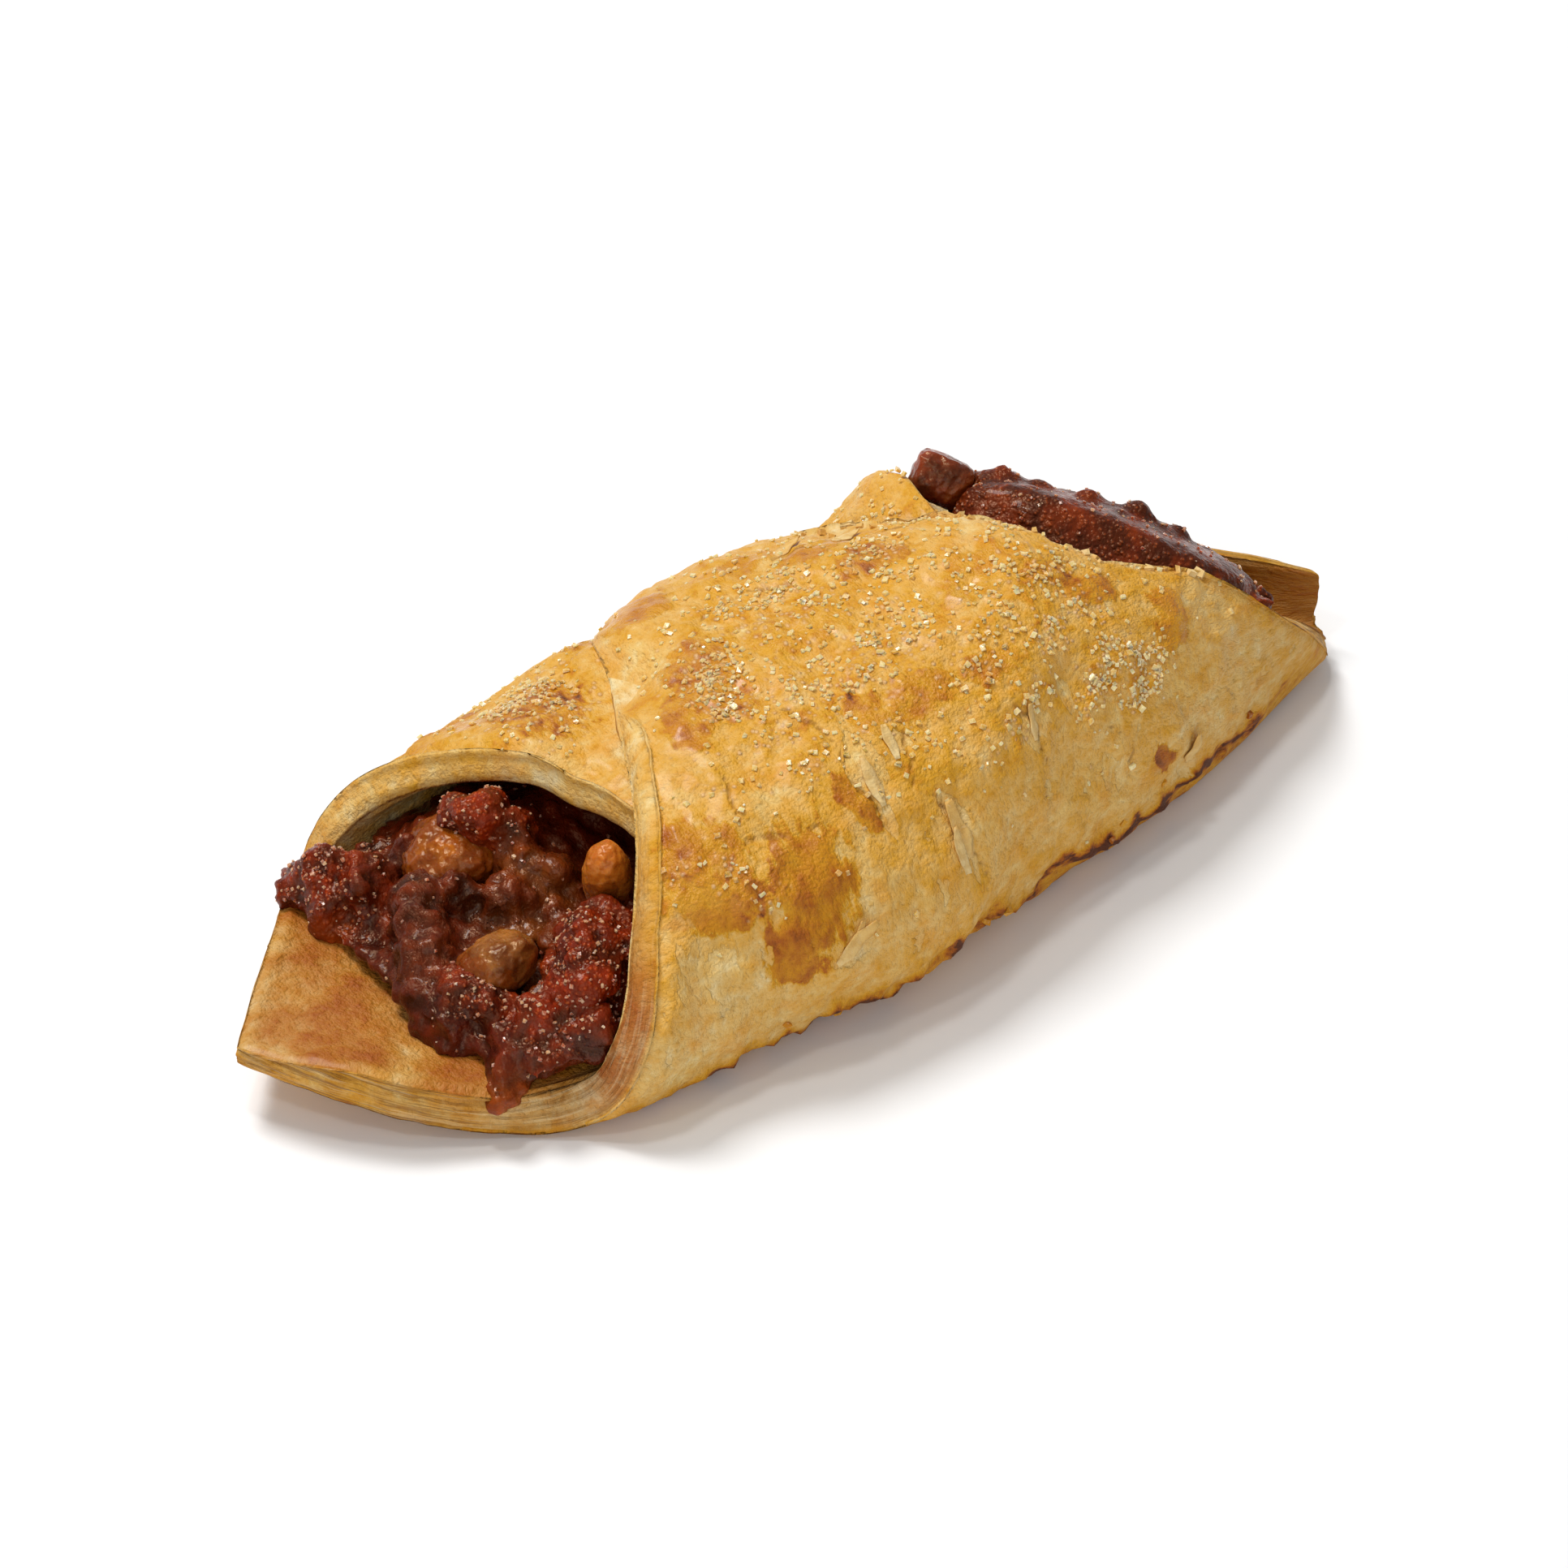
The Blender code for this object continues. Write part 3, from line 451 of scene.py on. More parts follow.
def inner_look(a, b, p):
    """The same for the inner face: the open tongue, the linings of the flaps and the far wall at the back."""
    x, q = place_of(a, b)
    middling, fine, wide = rough(p, 3.0, 3, 44), rough(p, 1.1, 2, 45), rough(p, 9, 2, 46)
    level = .20 + .05 * wide + .05 * middling
    tongue = ease(-x, .20, .32) * (1 - ease(np.abs(q) + .06 * wide, .34, .50))
    near_edge = np.exp(-(np.minimum(a, b) * 126 / 2.0)**2)
    level = level * (1 - tongue) + tongue * (.46 + .08 * wide + .12 * middling - .10 * near_edge)
    back = ease(x, .33, .42)
    level = level * (1 - back) + (.50 + .06 * middling + .05 * wide) * back
    # the lining has soaked up juice where it meets the paste
    soaked = ease(-x, .08, .20) * ease(np.abs(q), .45, .7) * (1 - .6 * near_edge)
    level = level * (1 - .6 * soaked) + .30 * .6 * soaked
    rim = np.minimum(a, b) * 126
    relief = .16 * wide + .12 * middling + .06 * fine + .40 * tongue * np.exp(-((rim - 1.1) / .8)**2)
    # the lining of the far flap rolls down behind its pale lip
    relief = relief + .60 * np.exp(-(a * 126 / 3.5)**2) * ease(-q, .50, .62) * (1 - ease(-q, 1.0, 1.1))
    none = 0 * x
    toast = np.clip(tongue * (.84 + .24 * wide + .26 * middling - .25 * near_edge) + back * (.70 + .2 * wide) + .18 * soaked * (1 - tongue) * (1 - back), 0, 1)
    return dict(bake=level, amber=none, amber_bake=none + .6, raw=none, rust=none, crack_shade=none,
                shine=.30 * tongue + .2 * back, sugar=none, cut=none, leaf=none, toast=toast), relief


def normals_of(grid):
    du, dv = np.gradient(grid, axis=0), np.gradient(grid, axis=1)
    n = np.cross(du, dv)
    return n / (np.linalg.norm(n, axis=-1, keepdims=True) + 1e-15)


def spaced(n, bunch):
    t = np.linspace(0, 1, n + 1)
    return t - bunch * np.sin(2 * np.pi * t)


def middle_of_cad():
    """The model's shift across, so that its box is centred."""
    t = spaced(CAD_STEPS, .035)
    A, B = np.meshgrid(t, t, indexing="ij")
    y = np.concatenate([sheet(A, B, w)[..., 1].ravel() for w in (0., 1.)])
    return -.5 * (y.min() + y.max())


SHIFT = np.array([0, middle_of_cad(), 0])
OUTER_STEPS, INNER_STEPS, RIM_ROWS = 262, 104, 12


def way_round(n):
    return ([(i, 0) for i in range(n)] + [(n, j) for j in range(n)] + [(n - i, n) for i in range(n)] + [(0, n - j) for j in range(n)])


def torn_edge(a, b, w):
    """The cut edges aren't clean: the back one is ragged, each layer in its own way, the front ones slightly."""
    x, q = place_of(a, b)
    run = np.stack([b * 126 + 40, 2.2 * w + 0 * b, 0 * b], -1)
    bite = .5 + .5 * rough(run, 2.6, 3, 201, .7)
    a = a - (.15 + 1.7 * bite) * ease(q, .80, 1.05) / 126 * np.exp(-((1 - a) * 126 / 3.2)**2)
    run = np.stack([a * 126 + 90, 1.6 * w + 0 * a, 0 * a + 7], -1)
    bite = .5 + .5 * rough(run, 3.6, 3, 202)
    b = b + .22 * bite / 126 * np.exp(-(b * 126 / 2.6)**2)
    # the tongue's tip is rounded off
    tip = .12 / 126 * np.exp(-((a * a + b * b) * 126**2) / 1.8**2)
    a, b = a + tip, b + tip
    b = b - .8 * (.5 + .5 * rough(run + 30, 3.2, 3, 203)) / 126 * np.exp(-((1 - b) * 126 / 2.6)**2) * ease(a, .42, .5)
    run = np.stack([b * 126 + 20, 1.6 * w + 0 * b, 0 * b + 14], -1)
    a = a + .25 * (.5 + .5 * rough(run, 5.0, 2, 204)) / 126 * np.exp(-(a * 126 / 2.6)**2)
    return a, b


def feathered(a, b):
    """How much of the near flap's upper front edge is pressed thin onto the flap below, from its outer face."""
    x, q = place_of(a, b)
    return .80 * np.exp(-(b * 126 / 3.0)**2) * ease(q, 1.02, 1.22) + .45 * np.exp(-((1 - a) * 126 / 2.0)**2) * ease(q, .95, 1.2)


def pressed(a, b):
    """Millimetres by which that edge dips into the flap below, so that the two run into one another."""
    x, q = place_of(a, b)
    return np.exp(-(b * 126 / 4.2)**2) * (1.3 * ease(q, 1.02, 1.18) - 1.0 * ease(q, 1.15, 1.25) - 1.6 * np.exp(-((q - 1.30) / .08)**2))


def crust():
    """The whole dough, closed: outer face, layered cut edge and inner face."""
    t, s = spaced(OUTER_STEPS, .035), spaced(INNER_STEPS, .085)
    A, B = np.meshgrid(t, t, indexing="ij")
    C, D = np.meshgrid(s, s, indexing="ij")
    thin = feathered(A, B)
    A1, B1 = torn_edge(A, B, 0)
    C1, D1 = torn_edge(C, D, 1)
    outer, inner = sheet(A1, B1, thin), sheet(C1, D1, 1.)
    sunk = pressed(A, B)
    turn = -1 if normals_of(outer)[OUTER_STEPS // 2, OUTER_STEPS // 2, 2] > 0 else 1    # the middle of the sheet faces down
    n_out, n_in = turn * normals_of(outer), -turn * normals_of(inner)
    (look_out, relief_out), (look_in, relief_in) = outer_look(A1, B1, outer * 1000), inner_look(C1, D1, inner * 1000)
    rim_out = np.minimum(np.minimum(A, 1 - A), np.minimum(B, 1 - B)) * 126
    rim_in = np.minimum(np.minimum(C, 1 - C), np.minimum(D, 1 - D)) * 126
    xo, qo = place_of(A1, B1)
    thick = thickness(xo, qo) / (DOUGH / LENGTH)
    # the outer face rounds off into the cut
    fade = ease(rim_out, 0, 1.6)
    round_off = .55 * thick * np.exp(-(rim_out / 1.1)**2) * (1 - thin)
    moved = outer + n_out * ((relief_out * (.35 + .65 * fade) * (1 - .7 * thin) - round_off * (1 - ease(sunk, 0, .5)) - sunk) / 1000)[..., None]
    moved[..., 2] = np.maximum(moved[..., 2], np.where(np.abs(qo) < .33, np.clip(outer[..., 2], .00002, .0001), .00002))
    lined = inner + n_in * ((relief_in * ease(rim_in, 0, 1.6) * .9 - .35 * np.exp(-(rim_in / .9)**2)) / 1000)[..., None]
    lined[..., 2] = np.where(np.abs(place_of(C, D)[1]) < .45, np.maximum(lined[..., 2], .0011), lined[..., 2])
    look_out["place"] = np.stack([xo * ALONG, qo * ROUND, -thin * thick * 4.3], -1)
    xi, qi = place_of(C1, D1)
    look_in["place"] = np.stack([xi * ALONG, qi * ROUND, -thickness(xi, qi) * ALONG], -1)
    # the cut edge, in rows from the outer face to the inner one
    i, j = (np.array(v) for v in zip(*way_round(OUTER_STEPS)))
    ea, eb = A[i, j], B[i, j]
    start = thin[i, j]
    ins = .004
    rows, looks = [], []
    for k in range(RIM_ROWS):
        w = start + (1 - start) * (k + .5) / RIM_ROWS
        a1, b1 = torn_edge(ea, eb, w)
        ex, eq = place_of(a1, b1)
        edge_thick = thickness(ex, eq) / (DOUGH / LENGTH) * (1 - start)
        here = sheet(a1, b1, w)
        out = here - sheet(np.clip(a1, ins, 1 - ins), np.clip(b1, ins, 1 - ins), w)
        out = out + 1e-7 * (here - sheet(a1 * .98 + .01, b1 * .98 + .01, w))
        out /= np.linalg.norm(out, axis=-1, keepdims=True) + 1e-12
        p = here * 1000
        bite = rough(p, 2.2, 2, 74)
        far_front, near_front = (ea < .002) & (eq < -.2), (eb < .002) * ease(eq, .35, .7) * (1 - start)
        layered = np.where(far_front, .35, 1.)
        wavy = w + .10 * noise(p * np.array((1, 1, .2)), 7, 71) + .05 * noise(p, 2.4, 72)
        leaf = np.sin(2 * np.pi * wavy * 4.5) * (.6 + .4 * noise(p, 5, 73)) + .5 * np.sin(2 * np.pi * wavy * 9 + 2)
        profile = .75 * (np.sqrt(np.clip(1 - (2 * w - 1)**2, 0, 1)) - .55)
        groove = -.50 * np.exp(-((w - .22) / .08)**2) + .26 * np.exp(-((w - .60) / .22)**2)
        arch = far_front * (.42 * np.exp(-((w - .74) / .22)**2) - .20 * np.exp(-((w - .30 - .05 * bite) / .06)**2))
        gap = -.40 * ease(-ex, .27, .34) * np.exp(-((w - .78 - .05 * bite) / .07)**2)
        d = (.55 * profile + gap + .13 * leaf * layered * (1 - .85 * near_front) + .10 * bite + near_front * groove + arch) * np.minimum(edge_thick, 1.1)
        inward_step = sheet(a1, b1, 1.) - sheet(a1, b1, 0.)
        inward_step /= np.linalg.norm(inward_step, axis=-1, keepdims=True) + 1e-12
        here = here + out * (d * (1 - ease(sunk[i, j], 0, .5)) / 1000)[..., None] + inward_step * (sunk[i, j] / 1000)[..., None]
        here[..., 2] = np.maximum(here[..., 2], .00004)
        rows.append(here)
        # cream between the leaves, tan and brown where their ends have caught; thin dark lines painted as shade in the
        # grooves and gaps between the layers, where a lip rolls over
        catch = ease(-ex, .30, .46) * .24 + ease(ex, .30, .44) * .34
        tongue = ease(-ex, .27, .34)
        front = np.maximum(far_front * ease(-eq, .42, .50), near_front * ease(eq, .40, .50))
        level = .16 + .07 * bite + .06 * noise(p, 9, 75) + catch + .10 * front + .14 * front * np.exp(-((w - .22) / .16)**2)
        level = level + (1 - front) * (.30 * ease(w, .80, 1.0) * (.3 + catch) + .36 * (1 - ease(w, start + .02, start + .26)) * (.35 + 1.3 * catch))
        level = level + .40 * (1 - ease(p[..., 2], .6, 2.4)) * (1 - near_front) + .04 * tongue + .06 * ease(eq, .35, .5) * (1 - ease(eq, .85, .95)) * (eb < .002)
        soaked = (eb < .002) * np.exp(-((eq - .53) / .16)**2) * ease(w, .04, .24)
        toast = np.clip(.34 * tongue * (.8 + .4 * bite) + .95 * soaked + .30 * (eb < .002) * ease(eq, .40, .5) * (1 - ease(eq, .78, .90)) * ease(w, .2, .7)
                        + .22 * far_front * ease(w, .85, 1.), 0, 1)
        none = 0 * level
        # painted shade: dark lines in the grooves and gaps of the cut edge, drawn with the cracks' painted shade
        painted_gap_shade = near_front * .34 * np.exp(-((w - .22) / .06)**2) + .50 * tongue * np.exp(-((w - .78 - .05 * bite) / .06)**2) * ease(noise(p, 6, 78), -.7, .2)
        painted_gap_shade = painted_gap_shade + far_front * ease(-eq, .45, .55) * (.62 * np.exp(-((w - .04) / .05)**2) * ease(noise(p, 6, 77), -.9, -.1)
                                                        + .44 * np.exp(-((w - .30 - .05 * bite) / .05)**2) * ease(noise(p, 5, 79), -.6, .3))
        looks.append(dict(bake=level, amber=none, amber_bake=none + .6, raw=none, rust=none, crack_shade=painted_gap_shade, shine=none, sugar=none,
                          cut=none + 1 - .75 * front, leaf=layered * (.35 + .65 * ease(catch, .02, .2)) * (1 - .9 * front) * (1 - start), toast=toast,
                          place=np.stack([ex * ALONG, eq * ROUND, -w * thickness(ex, eq) * ALONG], -1)))
    verts = [moved.reshape(-1, 3)] + rows + [lined.reshape(-1, 3)]
    shares = {key: np.concatenate([look_out[key].reshape(-1, 3) if key == "place" else look_out[key].ravel()]
                                  + [look[key] for look in looks]
                                  + [look_in[key].reshape(-1, 3) if key == "place" else look_in[key].ravel()]) for key in looks[0]}
    n, m = OUTER_STEPS, INNER_STEPS
    idx = np.arange((n + 1)**2).reshape(n + 1, n + 1)
    faces = [np.stack([idx[:-1, :-1], idx[1:, :-1], idx[1:, 1:], idx[:-1, 1:]], -1).reshape(-1, 4)]
    base = (n + 1)**2
    ring = idx[i, j]
    for _ in range(RIM_ROWS):
        low, ring = ring, base + np.arange(4 * n)
        base += 4 * n
        faces.append(np.stack([low, ring, np.roll(ring, -1), np.roll(low, -1)], -1))
    idy = base + np.arange((m + 1)**2).reshape(m + 1, m + 1)
    faces.append(np.stack([idy[:-1, :-1], idy[:-1, 1:], idy[1:, 1:], idy[1:, :-1]], -1).reshape(-1, 4))
    # the last row meets the coarser inner face in a strip of triangles
    k, l = (np.array(v) for v in zip(*way_round(m)))
    other = idy[k, l]
    place_a = np.r_[np.concatenate([c + t[:-1] for c in range(4)]), 4.]
    place_b = np.r_[np.concatenate([c + s[:-1] for c in range(4)]), 4.]
    u = v = 0
    strip = []
    while u < len(ring) or v < len(other):
        r0, o0 = ring[u % len(ring)], other[v % len(other)]
        if v >= len(other) or (u < len(ring) and place_a[u + 1] <= place_b[v + 1]):
            strip.append((r0, o0, ring[(u + 1) % len(ring)]))
            u += 1
        else:
            strip.append((r0, o0, other[(v + 1) % len(other)]))
            v += 1
    allfaces = [tuple(f) for block in faces for f in block.tolist()] + strip
    points = np.concatenate(verts)
    # the far wall's end leans out a little over the back corner
    over = (ease(points[:, 0], .058, .069) * ease(points[:, 2], .003, .009) * ease(points[:, 1], -.0015, .0015))[:, None]
    points = points + over * np.array((.0012, -.0005, 0))
    return points + SHIFT, allfaces, shares, (A1, B1, outer, n_out, moved, look_out)


def mesh_object(name, points, faces, colour=None, shares=None, smooth=True):
    mesh = bpy.data.meshes.new(name)
    mesh.from_pydata(np.asarray(points).tolist(), [], faces)
    mesh.validate()
    mesh.update()
    if colour is not None:
        layer = mesh.attributes.new("tint", "FLOAT_COLOR", "POINT")
        layer.data.foreach_set("color", np.c_[np.clip(colour, 0, 1), np.ones(len(colour))].astype(np.float32).ravel())
    for key, values in (shares or {}).items():
        values = np.asarray(values, np.float32)
        layer = mesh.attributes.new(key, "FLOAT" if values.ndim == 1 else "FLOAT_VECTOR", "POINT")
        layer.data.foreach_set("value" if values.ndim == 1 else "vector", values.ravel())
    if smooth:
        mesh.shade_smooth()
    obj = bpy.data.objects.new(name, mesh)
    bpy.context.scene.collection.objects.link(obj)
    return obj


def face_out(obj, soften=()):
    """Turns the faces outwards, after smoothing the mesh round some places: centre, radius, how often."""
    bm = bmesh.new()
    bm.from_mesh(obj.data)
    for centre, radius, times in soften:
        near = [v for v in bm.verts if (v.co - Vector(np.array(centre) + SHIFT)).length < radius]
        for _ in range(times):
            bmesh.ops.smooth_vert(bm, verts=near, factor=.5, use_axis_x=True, use_axis_y=True, use_axis_z=True)
    bmesh.ops.recalc_face_normals(bm, faces=bm.faces)
    bm.to_mesh(obj.data)
    bm.free()


# ---------------------------------------------------------------- materials
class Nodes:
    """A material's nodes, made and joined in short lines."""

    def __init__(self, name, place=None, **sockets):
        self.place = place
        self.material = bpy.data.materials.new(name)
        self.material.use_nodes = True
        self.tree = self.material.node_tree
        self.shader = self.tree.nodes["Principled BSDF"]
        for key, value in sockets.items():
            self.shader.inputs[key.replace("_", " ")].default_value = value

    def add(self, kind, inputs=None, **settings):
        node = self.tree.nodes.new(kind)
        for key, value in settings.items():
            setattr(node, key, value)
        for key, value in (inputs or {}).items():
            if isinstance(value, bpy.types.NodeSocket):
                self.tree.links.new(value, node.inputs[key])
            else:
                node.inputs[key].default_value = value
        return node

    def join(self, out, key):
        self.tree.links.new(out, self.shader.inputs[key])

    def attribute(self, name, what="Fac"):
        return self.add("ShaderNodeAttribute", attribute_name=name).outputs[what]

    def where(self, stretch=None):
        """Places in millimetres: on the dough sheet if that is given, or else in space."""
        if self.place:
            here = self.add("ShaderNodeAttribute", attribute_name=self.place).outputs["Vector"]
            scale = Vector(stretch or (1, 1, 1))
        else:
            here = self.add("ShaderNodeTexCoord").outputs["Object"]
            scale = Vector(stretch or (1, 1, 1)) * 1000
        return self.add("ShaderNodeVectorMath", {0: here, 1: scale}, operation="MULTIPLY").outputs[0]

    def noise(self, size_mm, detail=3, stretch=None, rough=.5):
        """Noise with lumps about this many millimetres across."""
        return self.add("ShaderNodeTexNoise", {"Vector": self.where(stretch), "Scale": 1 / size_mm, "Detail": detail,
                                               "Roughness": rough}).outputs["Fac"]

    def cells(self, size_mm, feature="F1", out="Distance"):
        return self.add("ShaderNodeTexVoronoi", {"Vector": self.where(), "Scale": 1 / size_mm}, feature=feature).outputs[out]

    def spread(self, value, low, high, out_low=0., out_high=1., soft=False):
        return self.add("ShaderNodeMapRange", {"Value": value, "From Min": low, "From Max": high, "To Min": out_low, "To Max": out_high},
                        interpolation_type="SMOOTHSTEP" if soft else "LINEAR").outputs["Result"]

    def sum(self, *terms):
        """A sum of (value, factor, middle) terms, each factor * (value - middle), and plain sockets."""
        total = None
        for term in terms:
            if isinstance(term, tuple):
                value, factor, middle = term
                term = self.add("ShaderNodeMath", {0: value, 1: factor, 2: -factor * middle}, operation="MULTIPLY_ADD").outputs[0]
            total = term if total is None else self.plus(total, term)
        return total

    def between(self, share, a, b):
        node = self.add("ShaderNodeMix", data_type="FLOAT")
        for socket, value in ((node.inputs[0], share), (node.inputs[2], a), (node.inputs[3], b)):
            if isinstance(value, bpy.types.NodeSocket):
                self.tree.links.new(value, socket)
            else:
                socket.default_value = value
        return node.outputs[0]

    def ramp(self, value, stops):
        node = self.add("ShaderNodeValToRGB", {"Fac": value})
        band = node.color_ramp
        while len(band.elements) < len(stops):
            band.elements.new(.5)
        for element, (at, colour) in zip(band.elements, stops):
            element.position = at
            element.color = (*colour, 1)
        return node.outputs["Color"]

    def times(self, a, b):
        return self.add("ShaderNodeMath", {0: a, 1: b}, operation="MULTIPLY").outputs[0]

    def plus(self, a, b):
        return self.add("ShaderNodeMath", {0: a, 1: b}, operation="ADD").outputs[0]

    def blend(self, kind, share, a, b):
        node = self.add("ShaderNodeMix", data_type="RGBA", blend_type=kind)
        for socket, value in ((node.inputs[0], share), (node.inputs[6], a), (node.inputs[7], b)):
            if isinstance(value, bpy.types.NodeSocket):
                self.tree.links.new(value, socket)
            else:
                socket.default_value = value
        return node.outputs[2]

    def bump(self, height, distance_mm, strength=1.):
        out = self.add("ShaderNodeBump", {"Height": height, "Distance": distance_mm / 1000, "Strength": strength}).outputs["Normal"]
        self.join(out, "Normal")


def crust_material():
    m = Nodes("baked_crust", "place", Metallic=0., IOR=1.45)
    share = {key: m.attribute(key) for key in ("bake", "amber", "amber_bake", "raw", "rust", "crack_shade", "shine", "sugar", "cut", "leaf", "toast")}
    torn = m.noise(1.5, 5, (1, .36, 1), .6)                   # streaks round the roll, finer and finer
    mottle = m.noise(2.3, 5, None, .62)
    blotch = m.noise(6.0, 3)
    fine = m.noise(.62, 3)
    grain = m.noise(.30, 2)
    patch = m.spread(m.sum(share["amber"], (torn, 1.1, .5), (mottle, .6, .5)), .40, .60, soft=True)
    bare = m.spread(m.sum(share["raw"], (torn, 1.9, .5), (mottle, .6, .5)), .46, .60, soft=True)
    level = m.sum(share["bake"], (mottle, .95, .5), (blotch, .55, .5), (fine, .24, .5), (torn, .30, .5))
    inside = m.sum(share["amber_bake"], (mottle, .40, .5), (blotch, .50, .5), (fine, .10, .5), (torn, .30, .5))
    level = m.between(patch, level, inside)
    pale = m.sum((mottle, .9, .38), (torn, .5, .5))
    level = m.between(m.times(bare, .74), level, pale)
    # under the sugar the wash has pooled and browned in spots
    level = m.sum(level, m.times(m.sum((m.noise(1.3, 3), 1.3, .47)), share["sugar"]))
    c = m.ramp(level, BAKE)
    toasted = m.times(share["toast"], m.spread(m.sum((blotch, 1.0, .5), (mottle, 1.0, .5), (fine, .5, .5)), -.20, .24, .74, 1.0))
    c = m.blend("MIX", toasted, c, (*tone(160, 84, 24), 1))
    # yellower here, pinker there
    c = m.blend("MULTIPLY", m.spread(m.noise(7.5, 2), .45, .75), c, (1.0, .98, .80, 1))
    c = m.blend("MULTIPLY", m.spread(m.noise(4.6, 2), .52, .80), c, (1.0, .90, .84, 1))
    rusty = m.spread(m.sum(share["rust"], (mottle, 1.1, .5), (fine, .4, .5)), .48, .66, soft=True)
    c = m.blend("MIX", m.times(rusty, .26), c, (*tone(176, 100, 34), 1))
    # melted sugar between the grains: pale specks and their brown surrounds
    speck, which = m.cells(.80), m.cells(.80, out="Color")
    chosen = m.spread(m.sum(share["sugar"], (which, .9, .5)), .42, .60)
    c = m.blend("MIX", m.times(m.times(chosen, m.spread(speck, .55, .30)), .34), c, (*tone(168, 106, 42), 1))
    c = m.blend("MIX", m.times(m.times(chosen, m.spread(speck, .36, .14)), .60), c, (*tone(242, 202, 150), 1))
    c = m.blend("MULTIPLY", m.times(m.spread(fine, .50, .72), .40), c, (.86, .74, .52, 1))
    # painted shade: darker brown along the cracks and in the grooves and gaps of the cut edge
    crack_shade_mix = m.spread(m.sum(share["crack_shade"], (torn, .8, .5), (fine, .3, .5)), .30, .85, soft=True)
    c = m.blend("MIX", m.times(crack_shade_mix, .46), c, (*tone(128, 78, 24), 1))
    # thin brown ends of the leaves in the cut edge
    ends = m.spread(m.noise(1.0, 3, (.13, .13, 3.4)), .50, .66)
    c = m.blend("MIX", m.times(m.times(ends, share["leaf"]), .62), c, (*tone(134, 84, 40), 1))
    gaps = m.spread(m.noise(1.0, 2, (.10, .10, 2.2)), .44, .36)
    c = m.blend("MIX", m.times(m.times(gaps, share["cut"]), .30), c, (*tone(232, 210, 164), 1))
    m.join(c, "Base Color")
    m.join(m.sum(m.spread(share["shine"], 0, 1, .60, .33), (fine, .16, .5)), "Roughness")
    m.join(m.spread(share["shine"], 0, 1, .02, .30), "Coat Weight")
    m.shader.inputs["Coat Roughness"].default_value = .20
    m.shader.inputs["Specular IOR Level"].default_value = .32
    streaks = m.times(m.sum((torn, 1.0, .5)), m.spread(share["shine"], 0, .8, 1.0, .5))
    m.bump(m.sum(streaks, (mottle, 1.0, .5), (fine, .75, .5), (grain, .40, .5), (patch, .14, 0), (bare, -.32, 0), (crack_shade_mix, -.3, 0),
                 (m.times(chosen, m.spread(speck, .34, .10)), .30, 0), (m.times(ends, share["cut"]), -.35, 0)), .50, .9)
    return m.material


def paste_material():
    m = Nodes("fruit_paste_looks", None, Metallic=0., IOR=1.40)
    tint, wet, grainy = m.attribute("tint", "Color"), m.attribute("shine"), m.attribute("grainy")
    clots = m.spread(m.noise(1.7, 4), .34, .66)
    pip = m.cells(.62)
    c = m.blend("MULTIPLY", m.times(clots, .74), tint, (.42, .24, .20, 1))
    threads = m.spread(m.noise(.8, 4, (1, .45, .7), .6), .53, .66)
    c = m.blend("MIX", m.times(m.times(threads, m.attribute("thread")), .40), c, (*tone(150, 84, 56), 1))
    # painted shade: darker between the grains, where the paste dips
    c = m.blend("MULTIPLY", m.times(m.times(m.spread(pip, .30, .62), grainy), .60), c, (.42, .22, .18, 1))
    c = m.blend("MIX", m.times(m.times(m.spread(pip, .30, .10), grainy), .55), c, (*tone(206, 100, 44), 1))
    m.join(c, "Base Color")
    m.join(m.sum(m.spread(wet, 0, 1, .40, .20), (clots, .12, .5)), "Roughness")
    m.join(m.spread(wet, 0, 1, .03, .32), "Coat Weight")
    m.shader.inputs["Coat Roughness"].default_value = .05
    m.shader.inputs["Coat IOR"].default_value = 1.38
    m.shader.inputs["Specular IOR Level"].default_value = .50
    m.shader.inputs["Specular Tint"].default_value = (1., .58, .32, 1)
    m.shader.inputs["Subsurface Weight"].default_value = .22
    m.shader.inputs["Subsurface Radius"].default_value = (.0012, .0003, .0002)
    m.shader.inputs["Subsurface Scale"].default_value = 1.0
    m.bump(m.sum((m.noise(1.5, 4), .9, .5), (m.noise(.5, 2), .30, .5), (m.times(m.spread(pip, .55, .10), grainy), .45, 0), (m.times(threads, m.attribute("thread")), .4, 0)), .55, .9)
    return m.material


def flesh_material(name, low, high, grain_mm=1.6):
    """Cloudy fruit flesh, from its darker to its paler colour."""
    m = Nodes(name, Metallic=0., IOR=1.45)
    cloud = m.spread(m.noise(grain_mm * 2.2, 3), .35, .68)
    c = m.blend("MIX", cloud, (*low, 1), (*high, 1))
    c = m.blend("MULTIPLY", m.times(m.spread(m.noise(.7, 3), .45, .7), .35), c, (.70, .50, .34, 1))
    smear = m.spread(m.sum(m.attribute("smear"), (m.noise(1.5, 3), 2.2, .5)), .30, .62, soft=True)
    c = m.blend("MIX", m.times(smear, .70), c, (*tone(126, 54, 10), 1))
    m.join(c, "Base Color")
    m.join(m.spread(m.noise(.8, 3), .3, .7, .16, .34), "Roughness")
    m.shader.inputs["Subsurface Weight"].default_value = .5
    m.shader.inputs["Subsurface Radius"].default_value = (.0022, .0009, .0003)
    m.shader.inputs["Subsurface Scale"].default_value = 1.0
    m.shader.inputs["Coat Weight"].default_value = .22
    m.shader.inputs["Coat Roughness"].default_value = .06
    m.shader.inputs["Coat IOR"].default_value = 1.40
    m.shader.inputs["Specular IOR Level"].default_value = .40
    m.shader.inputs["Specular Tint"].default_value = (1., .74, .40, 1)
    m.bump(m.plus(m.times(m.noise(1.1, 4), .8), m.times(m.cells(.9), .5)), .40, .8)
    return m.material


